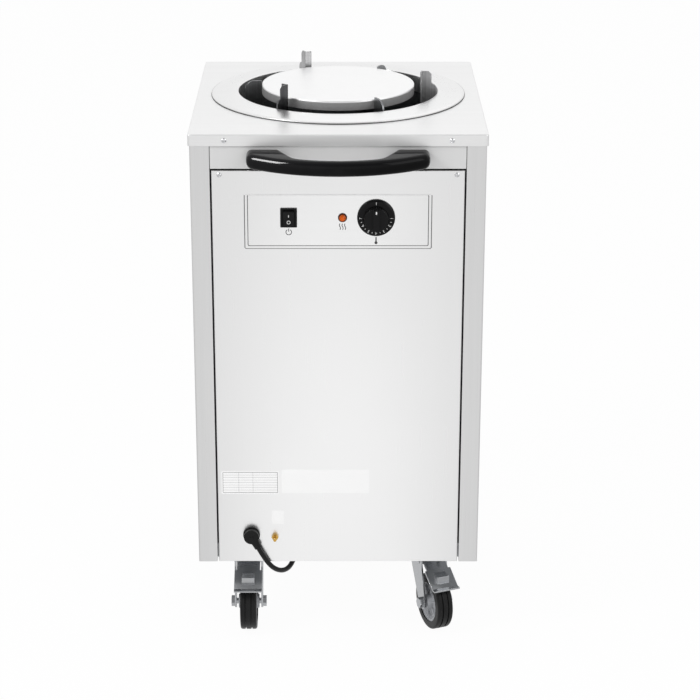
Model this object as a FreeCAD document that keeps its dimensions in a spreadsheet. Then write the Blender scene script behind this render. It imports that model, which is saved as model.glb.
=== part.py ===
# Heated plate dispenser on castors, as a parametric document in millimetres.
# X points right, Y points to the rear, Z points up, and the floor is at zero.
import FreeCAD, Part
import math
import os
import Sketcher

SIZES = {
    "Cabinet": {
        "cover_width": 470,
        "cover_depth": 505,
        "cover_height": 882,
        "cover_overhang": 2.5,
        "lip_height": 19,
        "cover_corner_radius": 4,
        "cover_edge_radius": 2.4,
        "sheet": 1.2,
        "bend_radius": 2,
        "skirt_height": 146,
        "front_flange": 31,
        "flange_return": 13,
        "rear_flange": 22,
        "panel_gap": 0.5,
        "panel_side_gap": 2.6,
        "panel_top_drop": 59,
        "panel_return": 14,
        "rail_drop": 56,
        "rail_flange": 16,
        "tongue_length": 22,
        "tongue_inset": 5,
        "base_lift": 2,
        "base_wall": 25,
        "base_sheet": 2,
        "overrun": 3,
    },
    "Handle": {
        "handle_reach": 77,
        "handle_half_length": 143.5,
        "handle_drop": 37,
        "handle_height": 24,
        "handle_shoulder": 30,
        "handle_corner_radius": 16,
        "handle_foot_inner": 88,
        "handle_grip_half": 66,
        "handle_grip_depth": 21,
        "handle_grip_bow": 12.5,
        "handle_round": 8.5,
    },
    "Screws": {
        "screw_radius": 2,
        "screw_hole_gap": 0.1,
        "screw_head_radius": 4,
        "screw_head_crown": 2.6,
        "screw_head_height": 2.2,
        "screw_length": 7,
        "panel_screw_length": 18,
        "cover_screw_inset": 57,
        "cover_screw_drop": 10,
        "panel_screw_inset": 12.5,
        "panel_screw_drop": 66,
        "rear_screw_low": 60,
        "rear_screw_high": 70,
    },
    "Well": {
        "well_offset": 19.5,
        "ring_margin": 24,
        "ring_rear_margin": 22,
        "ring_land": 45,
        "ring_rise": 6.4,
        "ring_rim_rise": 3,
        "ring_sheet": 1.5,
        "ring_shoulder": 7,
        "ring_bevel": 4,
        "ring_collar": 22,
        "ring_round": 1.2,
        "well_hole_gap": 1.2,
        "well_gap": 0.4,
        "well_wall": 1,
        "well_top_drop": 5,
        "well_bottom": 300,
        "slot_width": 30,
        "slot_top": 664,
    },
    "Guides": {
        "guide_angle": 113.5,
        "guide_inset": 28,
        "guide_strip": 18,
        "guide_thickness": 2.5,
        "guide_lip": 10,
        "guide_rise": 41,
        "guide_top_corner": 5,
        "guide_lobe_rise": 20,
        "guide_lobe_edge": 8,
        "guide_lobe_bulge": 3.2,
        "guide_lobe_drop": 20,
        "guide_lobe_taper": 10,
        "guide_bottom": 316,
        "guide_foot": 30,
    },
    "Lift": {
        "platform_inset": 39,
        "platform_rise": 17,
        "platform_rim": 16,
        "platform_sheet": 1.5,
        "platform_round": 2.5,
        "arm_angle": 58,
        "arm_thickness": 3,
        "arm_depth": 18,
        "arm_inset": 10,
        "arm_gap": 0.8,
        "arm_fin_rise": 3,
        "arm_fin_radius": 17,
        "arm_fin_bulge": 4.98,
        "arm_fin_taper": 8,
        "arm_hub_radius": 52,
        "leg_inner_inset": 40,
        "leg_outer_inset": 16,
        "spider_height": 640,
        "spider_sheet": 4,
        "spider_width": 24,
        "spider_overreach": 21,
        "spider_hub_radius": 34,
        "spider_hole_radius": 3.2,
        "spring_radius": 9,
        "spring_bore_radius": 5.5,
        "spring_hole_inset": 7,
        "spring_eye_radius": 5.5,
        "spring_wire_radius": 1.25,
        "spring_neck_radius": 3,
        "spring_bear": 1.2,
        "hanger_height": 850,
        "hanger_band": 8,
        "hanger_sheet": 3,
        "hanger_gap": 0.3,
        "travel": 400,
    },
    "Controls": {
        "plate_half_width": 147,
        "plate_top_drop": 98,
        "plate_height": 88,
        "plate_sheet": 1.5,
        "plate_corner": 2,
        "overlay_inset": 5,
        "overlay_top_inset": 0.8,
        "overlay_sheet": 0.6,
        "window_inset": 7,
        "control_drop": 135,
        "switch_x": -78,
        "switch_width": 26.5,
        "switch_height": 31.3,
        "switch_bezel": 2.6,
        "switch_body_width": 21,
        "switch_body_height": 28,
        "switch_body_depth": 24,
        "switch_gap": 0.4,
        "rocker_width": 17.6,
        "rocker_height": 24,
        "rocker_front": 4.2,
        "rocker_dip": 1.7,
        "rocker_back": 4,
        "rocker_gap": 0.9,
        "rocker_side_gap": 0.5,
        "rocker_well": 9,
        "rocker_tilt": 9,
        "lamp_x": 7,
        "lamp_ring_radius": 7.25,
        "lamp_ring_height": 2.4,
        "lamp_lens_radius": 5.6,
        "lamp_lens_height": 7,
        "lamp_lens_crown": 3.4,
        "lamp_barrel_radius": 5.8,
        "lamp_barrel_length": 26,
        "lamp_floor": 1,
        "knob_x": 60,
        "knob_radius": 30,
        "knob_skirt": 5,
        "knob_skirt_edge": 2.6,
        "knob_grip_radius": 20.5,
        "knob_grip_height": 15,
        "knob_grip_taper": 2,
        "knob_bar_width": 9,
        "knob_bar_height": 22,
        "knob_bar_inset": 3.2,
        "knob_round": 1.4,
        "knob_gap": 0.8,
        "shaft_radius": 3,
        "shaft_gap": 0.06,
        "shaft_reach": 15,
        "shaft_hole_radius": 5,
        "thermostat_width": 34,
        "thermostat_depth": 26,
    },
    "Mains": {
        "gland_x": -144,
        "gland_rise": 50,
        "gland_flange_radius": 14,
        "gland_flange": 3.5,
        "gland_cap_radius": 12.5,
        "gland_cap": 13,
        "gland_round": 3,
        "gland_thread_radius": 8,
        "gland_thread": 16,
        "gland_nut_width": 24,
        "gland_nut": 6,
        "boot_radius": 7.8,
        "boot_tip_radius": 6,
        "boot_length": 24,
        "cord_radius": 4.2,
        "earth_x": -105,
        "earth_rise": 46,
        "earth_radius": 3,
        "earth_length": 19,
        "earth_tip_radius": 2.5,
        "earth_tip": 11,
        "earth_inside": 14,
        "earth_nut_width": 10,
        "earth_nut": 5,
        "earth_gap": 0.05,
        "clip_x": -67,
        "clip_setback": 141,
        "clip_wall": 2,
        "clip_length": 10,
        "clip_gap": 0.2,
        "clip_tab": 16,
        "heater_ring_radius": 118,
        "heater_tube_radius": 4.5,
        "heater_height": 186,
        "heater_gap_angle": 30,
        "heater_tail": 30,
        "post_width": 12,
        "block_width": 60,
        "block_depth": 22,
        "block_height": 20,
        "block_setback": 125,
        "plug_radius": 17,
        "plug_neck_radius": 7,
        "plug_length": 38,
        "plug_neck": 24,
        "plug_round": 4,
        "blade_width": 6.4,
        "blade_sheet": 1.6,
        "blade_length": 17,
        "blade_spread": 6.5,
        "blade_turn": 30,
        "blade_drop": 5.5,
    },
    "Castors": {
        "castor_side_inset": 80.5,
        "castor_inset": 85,
        "castor_right_angle": 22,
        "castor_rear_left_angle": 200,
        "castor_rear_right_angle": 166,
        "trail": 34,
        "wheel_share": 0.32876712,
        "wheel_width": 28,
        "tyre_depth": 13,
        "tyre_round": 4,
        "groove_depth": 2,
        "groove_width": 2.4,
        "groove_place": 5,
        "hub_width": 35,
        "hub_web": 12,
        "hub_boss_radius": 12,
        "hub_rim": 4,
        "axle_radius": 5,
        "axle_gap": 0.08,
        "axle_hex": 16,
        "axle_head": 6,
        "fork_inner": 42,
        "fork_sheet": 3,
        "fork_drop": 13,
        "fork_crown": 3,
        "fork_back": 24,
        "fork_front": 26,
        "fork_boss": 13,
        "fork_sole": 11,
        "fork_head_radius": 25,
        "fork_head_rise": 5,
        "race_radius": 23,
        "race_gap": 0.4,
        "pin_radius": 6,
        "pin_head_radius": 10,
        "pin_head": 4,
        "pin_gap": 0.08,
        "plate_length": 92,
        "plate_width": 76,
        "castor_plate_sheet": 2.5,
        "castor_plate_round": 6,
        "bolt_radius": 4,
        "bolt_hole_gap": 0.2,
        "bolt_hex": 13,
        "bolt_head": 5.5,
        "bolt_length": 12,
        "bolt_x": 36,
        "bolt_y": 28,
        "pedal_pin_forward": 20,
        "pedal_pin_drop": 15,
        "pedal_pin_radius": 2.5,
        "pedal_pin_gap": 0.06,
        "pedal_eye_radius": 5,
        "pedal_width": 39,
        "pedal_sheet": 2.2,
        "pedal_top_forward": 24,
        "pedal_top_rise": 7,
        "pedal_lip_forward": 76,
        "pedal_lip_drop": 34,
        "pedal_lip": 9,
        "pedal_foot_width": 47,
        "pedal_foot_forward": 45,
        "pedal_tab_width": 21,
        "pedal_tab_back": 50,
        "pedal_tab_front": 69,
    },
    "Coil": {
        "coil_inner_radius": 33,
        "coil_pitch": 9.2,
        "coil_layer": 9.1,
        "plug_lead": 62,
        "lead_run": 32,
        "coil_run": 24,
        "coil_setback": 372,
        "coil_x": 0,
        "coil_lift": 0.3,
    },
}


class Size:
    """A length or angle that keeps the formula it came from, for the document's expressions."""

    def __init__(self, value, text):
        self.value = float(value)
        self.text = text

    def joined(self, other, sign, value, turned=False):
        """Return a new size from this one, another size or count, and an operator."""
        mine = self.text
        theirs = other.text if isinstance(other, Size) else repr(other)
        left, right = (theirs, mine) if turned else (mine, theirs)
        return Size(value, "(%s %s %s)" % (left, sign, right))

    def __add__(self, other):
        return self.joined(other, "+", self.value + plain(other))

    def __radd__(self, other):
        return self.joined(other, "+", self.value + plain(other), True)

    def __sub__(self, other):
        return self.joined(other, "-", self.value - plain(other))

    def __rsub__(self, other):
        return self.joined(other, "-", plain(other) - self.value, True)

    def __mul__(self, other):
        return self.joined(other, "*", self.value * plain(other))

    def __rmul__(self, other):
        return self.joined(other, "*", self.value * plain(other), True)

    def __truediv__(self, other):
        return self.joined(other, "/", self.value / plain(other))

    def __neg__(self):
        return self * -1


class Sizes:
    """All named sizes, as attributes."""


def smaller(first, second):
    """Return the smaller of two sizes, as a formula of both."""
    return Size(min(first.value, second.value), "min(%s; %s)" % (first.text, second.text))


def plain(size):
    """Return the number in a size, or the number itself."""
    return size.value if isinstance(size, Size) else float(size)


doc = FreeCAD.newDocument("PlateDispenser")
sheet = doc.addObject("Spreadsheet::Sheet", "Dims")
S = Sizes()
row = 0
for heading, names in SIZES.items():
    row += 1
    sheet.set("A%d" % row, heading)
    for alias, number in names.items():
        row += 1
        sheet.set("A%d" % row, alias)
        sheet.set("B%d" % row, str(number))
        sheet.setAlias("B%d" % row, alias)
        setattr(S, alias, Size(number, "Dims." + alias))
doc.recompute()

Vector = FreeCAD.Vector
ZERO = Size(0, "0")
UP = Vector(0, 0, 1)
NODES = []


def bind(thing, path, size):
    """Bind one property of a document object to a size's formula."""
    thing.setExpression(path, size.text)


def place(thing, spot, turn=ZERO, axis=UP):
    """Put an object at a spot whose coordinates are sizes, turned by an angle about an axis."""
    base = Vector(*[size.value for size in spot])
    thing.Placement = FreeCAD.Placement(base, FreeCAD.Rotation(axis, turn.value))
    for letter, size in zip("xyz", spot):
        bind(thing, "Placement.Base." + letter, size)


class Circle:
    """A circle in a sketch."""

    def __init__(self, x, y, radius):
        self.x, self.y, self.radius = x, y, radius


def rectangle(left, low, right, high):
    """Return the outline of a rectangle."""
    return [(left, low), (right, low), (right, high), (left, high)]


def centred(x, y, width, height):
    """Return the outline of a rectangle about a point."""
    return rectangle(x - width / 2, y - height / 2, x + width / 2, y + height / 2)


def hexagon(x, y, width):
    """Return the outline of a hexagon of a given width across flats."""
    corner = width / math.sqrt(3)
    turns = [math.radians(60 * step) for step in range(6)]
    return [(x + corner * math.cos(turn), y + corner * math.sin(turn)) for turn in turns]


def pin_point(sketch, place_in_sketch, x, y):
    """Fix a sketch point by two dimensions that follow their formulas."""
    geometry, end = place_in_sketch
    for kind, size, axis in (("DistanceX", x, -2), ("DistanceY", y, -1)):
        if abs(size.value) < 1e-9:
            sketch.addConstraint(Sketcher.Constraint("PointOnObject", geometry, end, axis))
            continue
        number = sketch.addConstraint(Sketcher.Constraint(kind, -1, 1, geometry, end, size.value))
        bind(sketch, "Constraints[%d]" % number, size)


def arc_geometry(start, finish, sagitta):
    """Return an arc over a chord, and whether it runs from start to finish in the sketch's sense."""
    chord = finish - start
    half = chord.Length / 2
    radius = (half * half + sagitta * sagitta) / (2 * abs(sagitta))
    outward = Vector(chord.y, -chord.x, 0).normalize()
    sign = 1 if sagitta > 0 else -1
    centre = (start + finish) / 2 + outward * (sagitta - sign * radius)
    angles = [math.atan2(point.y - centre.y, point.x - centre.x) for point in (start, finish)]
    if sign < 0:
        angles.reverse()
    circle = Part.Circle(centre, UP, radius)
    return Part.ArcOfCircle(circle, angles[0], angles[1]), sign > 0


def draw_circle(sketch, circle):
    """Add one dimensioned circle to a sketch."""
    centre = Vector(circle.x.value, circle.y.value, 0)
    number = sketch.addGeometry(Part.Circle(centre, UP, circle.radius.value), False)
    pin_point(sketch, (number, 3), circle.x, circle.y)
    limit = sketch.addConstraint(Sketcher.Constraint("Radius", number, circle.radius.value))
    bind(sketch, "Constraints[%d]" % limit, circle.radius)


def draw(sketch, outline):
    """Add one closed outline to a sketch. A corner's third entry is the next edge's bulge."""
    if isinstance(outline, Circle):
        draw_circle(sketch, outline)
        return
    spots = [Vector(corner[0].value, corner[1].value, 0) for corner in outline]
    ends = []
    for number, corner in enumerate(outline):
        start = spots[number]
        finish = spots[(number + 1) % len(spots)]
        if len(corner) == 2:
            geometry = sketch.addGeometry(Part.LineSegment(start, finish), False)
            ends.append((geometry, 1, 2))
            continue
        arc, forward = arc_geometry(start, finish, corner[2].value)
        geometry = sketch.addGeometry(arc, False)
        ends.append((geometry, 1, 2) if forward else (geometry, 2, 1))
        after = outline[(number + 1) % len(outline)]
        run, rise = after[0] - corner[0], after[1] - corner[1]
        square = (run * run + rise * rise) / 4 + corner[2] * corner[2]
        radius = square / (2 * corner[2]) if forward else square / (-2 * corner[2])
        limit = sketch.addConstraint(Sketcher.Constraint("Radius", geometry, radius.value))
        bind(sketch, "Constraints[%d]" % limit, radius)
    for number, (geometry, first, last) in enumerate(ends):
        after = ends[(number + 1) % len(ends)]
        sketch.addConstraint(Sketcher.Constraint("Coincident", geometry, last, after[0], after[1]))
        pin_point(sketch, (geometry, first), outline[number][0], outline[number][1])


class Piece:
    """A sub-part under construction: a body with sketches, pads, pockets and fillets."""

    def __init__(self, label, spot=(ZERO, ZERO, ZERO), turn=ZERO, keep=True):
        self.body = doc.addObject("PartDesign::Body", label)
        self.body.Label = label
        self.tip = None
        place(self.body, spot, turn)
        if keep:
            NODES.append(self.body)

    def sketch(self, plane, outlines, level):
        """Add a sketch on one of the body's own planes, moved along the plane's normal."""
        support = [each for each in self.body.Origin.OriginFeatures if each.Role == plane + "_Plane"]
        sketch = self.body.newObject("Sketcher::SketchObject", self.body.Label + "_sketch")
        sketch.AttachmentSupport = [(support[0], "")]
        sketch.MapMode = "FlatFace"
        bind(sketch, "AttachmentOffset.Base.z", level)
        for outline in outlines:
            draw(sketch, outline)
        doc.recompute([sketch])
        return sketch

    def feature(self, kind, sketch):
        """Add one sketch-based feature."""
        made = self.body.newObject("PartDesign::" + kind, self.body.Label + "_" + kind.lower())
        made.Profile = sketch
        self.tip = made
        return made

    def pad(self, plane, outlines, length, level=ZERO, both=False, back=False):
        """Pad outlines from a level, along the plane's normal, against it, or both ways."""
        made = self.feature("Pad", self.sketch(plane, outlines, level))
        bind(made, "Length", length)
        made.SideType = "Symmetric" if both else "One side"
        made.Reversed = back
        doc.recompute([self.body])
        return made

    def pocket(self, plane, outlines, length, level=ZERO, both=False, back=False):
        """Cut outlines against the plane's normal, along it, or both ways, and check that it cut."""
        before = self.body.Shape.Volume
        made = self.feature("Pocket", self.sketch(plane, outlines, level))
        bind(made, "Length", length)
        made.SideType = "Symmetric" if both else "One side"
        made.Reversed = back
        doc.recompute([self.body])
        if not self.body.Shape.Volume < before:
            raise ValueError("a pocket in %s cuts nothing" % self.body.Label)
        return made

    def turned(self, plane, outlines, axis, level=ZERO, cut=False):
        """Revolve outlines about the sketch's upright (V) or level (H) axis."""
        sketch = self.sketch(plane, outlines, level)
        made = self.feature("Groove" if cut else "Revolution", sketch)
        made.ReferenceAxis = (sketch, [axis + "_Axis"])
        made.Angle = 360
        doc.recompute([self.body])
        return made

    def around(self, features, count):
        """Repeat features evenly about the body's upright axis."""
        made = self.body.newObject("PartDesign::PolarPattern", self.body.Label + "_pattern")
        made.Originals = features
        upright = [each for each in self.body.Origin.OriginFeatures if each.Role == "Z_Axis"]
        made.Axis = (upright[0], [""])
        made.Angle = 360
        made.Occurrences = count
        self.body.Tip = made
        self.tip = made
        doc.recompute([self.body])
        return made

    def soften(self, radius, chosen, kind="Fillet"):
        """Round or bevel the edges of the last feature that a test picks."""
        edges = self.tip.Shape.Edges
        names = ["Edge%d" % (number + 1) for number, edge in enumerate(edges) if chosen(edge)]
        if not names:
            raise ValueError("no edge to soften on %s" % self.body.Label)
        made = self.body.newObject("PartDesign::" + kind, self.body.Label + "_" + kind.lower())
        made.Base = (self.tip, names)
        bind(made, "Radius" if kind == "Fillet" else "Size", radius)
        self.tip = made
        doc.recompute([self.body])
        return made


def near(one, other):
    """Tell whether two numbers agree to a hair."""
    return abs(plain(one) - plain(other)) < 1e-4


def spans(edge, axis):
    """Return an edge's lowest and highest coordinate along an axis."""
    box = edge.BoundBox
    return getattr(box, axis + "Min"), getattr(box, axis + "Max")


def lies_at(axis, size):
    """Return a test for edges that lie wholly at one coordinate."""
    return lambda edge: all(near(end, size) for end in spans(edge, axis))


def runs_along(axis):
    """Return a test for straight edges along one axis."""
    others = [letter for letter in "XYZ" if letter != axis]
    return lambda edge: all(near(*spans(edge, other)) for other in others)


def block(label, lengths, corner, turn=ZERO):
    """Add a box from its low corner."""
    made = doc.addObject("Part::Box", label)
    for name, size in zip(("Length", "Width", "Height"), lengths):
        bind(made, name, size)
    place(made, corner, turn)
    return made


def rod(label, radius, length, spot, axis=UP):
    """Add a cylinder that starts at a spot and runs along an axis."""
    made = doc.addObject("Part::Cylinder", label)
    bind(made, "Radius", radius)
    bind(made, "Height", length)
    aim(made, spot, axis)
    return made


def cone(label, radius, tip_radius, length, spot, axis=UP):
    """Add a tapered rod that starts at a spot and runs along an axis."""
    made = doc.addObject("Part::Cone", label)
    bind(made, "Radius1", radius)
    bind(made, "Radius2", tip_radius)
    bind(made, "Height", length)
    aim(made, spot, axis)
    return made


def aim(thing, spot, axis):
    """Put an object at a spot with its own upright axis along a direction."""
    turn = FreeCAD.Rotation(UP, axis)
    thing.Placement = FreeCAD.Placement(Vector(*[size.value for size in spot]), turn)
    for letter, size in zip("xyz", spot):
        bind(thing, "Placement.Base." + letter, size)


def joined(label, shapes, keep=False):
    """Fuse solids into one."""
    made = doc.addObject("Part::MultiFuse", label)
    made.Label = label
    made.Shapes = shapes
    made.Refine = True
    if keep:
        NODES.append(made)
    return made


def less(label, base, tools, keep=False):
    """Cut tools from a solid."""
    tool = tools[0] if len(tools) == 1 else joined(label + "_tools", tools)
    made = doc.addObject("Part::Cut", label)
    made.Label = label
    made.Base = base
    made.Tool = tool
    if keep:
        NODES.append(made)
    return made


def group(label, members):
    """Keep like pieces together as one node."""
    made = doc.addObject("Part::Compound", label)
    made.Label = label
    made.Links = members
    NODES.append(made)
    return made


# Planes that several pieces share, measured from the middle of the cabinet's floor outline.
MIDDLE = (S.handle_reach - S.screw_head_height) / 2
CABINET = (ZERO, MIDDLE, ZERO)
HALF_WIDTH = S.cover_width / 2
HALF_DEPTH = S.cover_depth / 2
BODY_HALF = HALF_WIDTH - S.cover_overhang
FRONT = -(HALF_DEPTH - S.cover_overhang)
REAR = HALF_DEPTH - S.cover_overhang
TOP = S.cover_height
UNDER_TOP = TOP - S.sheet
BASE_LOW = S.skirt_height + S.base_lift
BASE_TOP = BASE_LOW + S.base_sheet
INNER_HALF = BODY_HALF - S.sheet - S.panel_gap
WELL_Y = S.well_offset
RING_OUTER = smaller(HALF_WIDTH - S.ring_margin, HALF_DEPTH - S.well_offset - S.ring_rear_margin)
OPENING = RING_OUTER - S.ring_land
GUIDE_INNER = OPENING - S.guide_inset
PLATFORM = OPENING - S.platform_inset
ARM_REACH = OPENING - S.arm_inset
LEG_INNER = OPENING - S.leg_inner_inset
LEG_OUTER = OPENING - S.leg_outer_inset
SPIDER_REACH = OPENING + S.spider_overreach
CASTOR_X = BODY_HALF - S.castor_side_inset
WHEEL = S.skirt_height * S.wheel_share
FORK_TOP = S.skirt_height - S.fork_drop
PEDAL_PIN_Z = FORK_TOP - S.pedal_pin_drop
PEDAL_TOP_Z = PEDAL_PIN_Z + S.pedal_top_rise
PEDAL_LIP_Z = PEDAL_TOP_Z - S.pedal_lip_drop
WELL = (ZERO, MIDDLE + WELL_Y, ZERO)
CONTROL_Z = TOP - S.control_drop
SCREW_HOLE = S.screw_radius + S.screw_hole_gap
COLLAR_OUTER = OPENING + S.ring_sheet
WELL_INNER = COLLAR_OUTER + S.well_gap
WELL_OUTER = WELL_INNER + S.well_wall
WELL_HOLE = WELL_OUTER + S.well_hole_gap
RAIL_HALF = BODY_HALF - S.front_flange - S.panel_gap
PANEL_HALF = BODY_HALF - S.front_flange - S.panel_side_gap
PANEL_TOP = TOP - S.panel_top_drop
RAIL_BOTTOM = TOP - S.rail_drop
TONGUE = FRONT + S.panel_return
PANEL_SCREW_Z = TOP - S.panel_screw_drop
COVER_SCREW_Z = TOP - S.cover_screw_drop
PANEL_SCREW_X = PANEL_HALF - S.panel_screw_inset
COVER_SCREW_X = HALF_WIDTH - S.cover_screw_inset
REAR_SCREW_X = BODY_HALF - S.rear_flange / 2
REAR_SCREW_ZS = (
    S.skirt_height + S.rear_screw_low,
    (S.skirt_height + TOP) / 2,
    TOP - S.rear_screw_high,
)
GLAND_Z = S.skirt_height + S.gland_rise
EARTH_Z = S.skirt_height + S.earth_rise
SIDES = (-1, 1)


def make_cover():
    """Fold the top cover: a shallow pan with a round opening and screw holes in its lips."""
    cover = Piece("top_cover", CABINET)
    low = TOP - S.lip_height
    cover.pad("XY", [rectangle(-HALF_WIDTH, -HALF_DEPTH, HALF_WIDTH, HALF_DEPTH)], S.lip_height, low)
    cover.soften(S.cover_corner_radius, runs_along("Z"))
    cover.soften(S.cover_edge_radius, lies_at("Z", TOP))
    wide, deep = HALF_WIDTH - S.sheet, HALF_DEPTH - S.sheet
    cover.pocket("XY", [rectangle(-wide, -deep, wide, deep)], S.lip_height - S.sheet, low, back=True)
    cover.pocket("XY", [Circle(ZERO, WELL_Y, WELL_HOLE)], S.lip_height, TOP + S.overrun)
    holes = [Circle(COVER_SCREW_X * side, COVER_SCREW_Z, SCREW_HOLE) for side in SIDES]
    cover.pocket("XZ", holes, S.cover_depth + S.overrun, both=True)


def make_side_panel(label, side):
    """Fold one side panel, whose front wraps round as a flange with a return."""
    flange_edge = BODY_HALF - S.front_flange
    profile = [
        (BODY_HALF, FRONT),
        (BODY_HALF, REAR),
        (BODY_HALF - S.rear_flange, REAR),
        (BODY_HALF - S.rear_flange, REAR - S.sheet),
        (BODY_HALF - S.sheet, REAR - S.sheet),
        (BODY_HALF - S.sheet, FRONT + S.sheet),
        (flange_edge + S.sheet, FRONT + S.sheet),
        (flange_edge + S.sheet, FRONT + S.flange_return),
        (flange_edge, FRONT + S.flange_return),
        (flange_edge, FRONT),
    ]
    outline = [(x * side, y) for x, y in profile]
    panel = Piece(label, CABINET)
    panel.pad("XY", [outline], UNDER_TOP - S.skirt_height, S.skirt_height)

    def folds(edge):
        outer = near(abs(edge.CenterOfMass.x), BODY_HALF)
        return outer and runs_along("Z")(edge)

    panel.soften(S.bend_radius, folds)
    hole_spots = [(REAR_SCREW_X * side, height) for height in REAR_SCREW_ZS]
    holes = [Circle(x, z, SCREW_HOLE) for x, z in hole_spots]
    panel.pocket("XZ", holes, S.sheet + S.overrun * 2, -(REAR - S.sheet - S.overrun), back=False)


def make_rear_panel():
    """Cut the flat rear panel, which screws to the side panels' rear flanges from outside."""
    panel = Piece("rear_panel", CABINET)
    outline = rectangle(-INNER_HALF, BASE_LOW, INNER_HALF, UNDER_TOP)
    panel.pad("XZ", [outline], S.sheet, -(REAR - S.sheet))
    holes = [Circle(REAR_SCREW_X * side, z, SCREW_HOLE) for side in SIDES for z in REAR_SCREW_ZS]
    holes += [Circle(COVER_SCREW_X * side, COVER_SCREW_Z, SCREW_HOLE) for side in SIDES]
    panel.pocket("XZ", holes, S.sheet + S.overrun * 2, -(REAR - S.overrun * 2))


def make_rail():
    """Fold the upper front rail, whose tongue carries the top of the front panel."""
    profile = [
        (FRONT, RAIL_BOTTOM),
        (TONGUE + S.sheet, RAIL_BOTTOM),
        (TONGUE + S.sheet, RAIL_BOTTOM + S.sheet),
        (FRONT + S.sheet, RAIL_BOTTOM + S.sheet),
        (FRONT + S.sheet, UNDER_TOP - S.sheet),
        (FRONT + S.rail_flange, UNDER_TOP - S.sheet),
        (FRONT + S.rail_flange, UNDER_TOP),
        (FRONT, UNDER_TOP),
    ]
    rail = Piece("upper_front_rail", CABINET)
    rail.pad("YZ", [profile], RAIL_HALF * 2, both=True)
    tongue = rectangle(TONGUE, RAIL_BOTTOM - S.tongue_length, TONGUE + S.sheet, RAIL_BOTTOM)
    rail.pad("YZ", [tongue], (PANEL_HALF - S.tongue_inset) * 2, both=True)
    lip_holes = [Circle(COVER_SCREW_X * side, COVER_SCREW_Z, SCREW_HOLE) for side in SIDES]
    panel_holes = [Circle(PANEL_SCREW_X * side, PANEL_SCREW_Z, SCREW_HOLE) for side in SIDES]
    rail.pocket("XZ", lip_holes + panel_holes, S.panel_return + S.overrun * 2, -FRONT + S.overrun)


def make_front_panel():
    """Fold the front panel: a tray with holes for the controls, the gland and the earth stud."""
    panel = Piece("front_panel", CABINET)
    outline = rectangle(-PANEL_HALF, S.skirt_height, PANEL_HALF, PANEL_TOP)
    panel.pad("XZ", [outline], S.panel_return, -FRONT, back=True)
    panel.soften(S.sheet, lies_at("Y", FRONT))
    low, high, wide = S.skirt_height + S.sheet, PANEL_TOP - S.sheet, PANEL_HALF - S.sheet
    depth = S.panel_return - S.sheet
    panel.pocket("XZ", [rectangle(-wide, low, wide, high)], depth, -(FRONT + S.panel_return), back=True)
    window = rectangle(
        -(S.plate_half_width - S.window_inset),
        TOP - S.plate_top_drop - S.plate_height + S.window_inset,
        S.plate_half_width - S.window_inset,
        TOP - S.plate_top_drop - S.window_inset,
    )
    openings = [window]
    openings.append(Circle(S.gland_x, GLAND_Z, S.gland_thread_radius + S.earth_gap))
    openings.append(Circle(S.earth_x, EARTH_Z, S.earth_radius + S.earth_gap))
    openings += [Circle(PANEL_SCREW_X * side, PANEL_SCREW_Z, SCREW_HOLE) for side in SIDES]
    panel.pocket("XZ", openings, S.sheet + S.overrun * 2, -FRONT + S.overrun)


def castor_spots():
    """Return the plan place of each castor's swivel, from the cabinet's middle."""
    y = HALF_DEPTH - S.castor_inset
    return {
        "front_left": (-CASTOR_X, -y),
        "front_right": (CASTOR_X, -y),
        "rear_left": (-CASTOR_X, y),
        "rear_right": (CASTOR_X, y),
    }


def bolt_spots():
    """Return the plan place of every castor bolt, from the cabinet's middle."""
    spots = []
    for x, y in castor_spots().values():
        spots += [(x + S.bolt_x * i, y + S.bolt_y * j) for i in SIDES for j in SIDES]
    return spots


def make_base():
    """Fold the base pan that carries the castors."""
    low_y, high_y = FRONT + S.panel_return, REAR - S.sheet * 2
    base = Piece("base_pan", CABINET)
    base.pad("XY", [rectangle(-INNER_HALF, low_y, INNER_HALF, high_y)], S.base_wall, BASE_LOW)
    wall = S.base_sheet
    tray = rectangle(-INNER_HALF + wall, low_y + wall, INNER_HALF - wall, high_y - wall)
    base.pocket("XY", [tray], S.base_wall - wall, BASE_LOW + S.base_wall)
    holes = [Circle(x, y, S.bolt_radius + S.bolt_hole_gap) for x, y in bolt_spots()]
    base.pocket("XY", holes, wall + S.overrun * 2, BASE_TOP + S.overrun)


def make_handle():
    """Shape the bow handle: a plan outline of arcs, padded, its corners eased and its rims rounded."""
    nose = FRONT - S.cover_overhang - S.handle_reach
    shoulder_y = FRONT - S.handle_shoulder
    grip_y = nose + S.handle_grip_depth + S.handle_grip_bow
    outline = [
        (-S.handle_half_length, FRONT),
        (-S.handle_half_length, shoulder_y, shoulder_y - nose),
        (S.handle_half_length, shoulder_y),
        (S.handle_half_length, FRONT),
        (S.handle_foot_inner, FRONT),
        (S.handle_grip_half, grip_y, -S.handle_grip_bow),
        (-S.handle_grip_half, grip_y),
        (-S.handle_foot_inner, FRONT),
    ]
    low = TOP - S.handle_drop - S.handle_height / 2
    handle = Piece("push_handle", CABINET)
    handle.pad("XY", [outline], S.handle_height, low)

    def corners(edge):
        upright = runs_along("Z")(edge)
        return upright and not near(edge.CenterOfMass.y, FRONT)

    def rims(edge):
        level = near(*spans(edge, "Z"))
        return level and not all(near(end, FRONT) for end in spans(edge, "Y"))

    handle.soften(S.handle_corner_radius, corners)
    handle.soften(S.handle_round, rims)


def screw(label, spot, axis, length):
    """Make one pan-head screw whose head seats at a spot and whose shank runs along an axis."""
    shank = rod(label + "_shank", S.screw_radius, length, spot, axis)
    head = cone(label + "_head", S.screw_head_radius, S.screw_head_crown, S.screw_head_height, spot, -axis)
    return joined(label, [shank, head])


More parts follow.
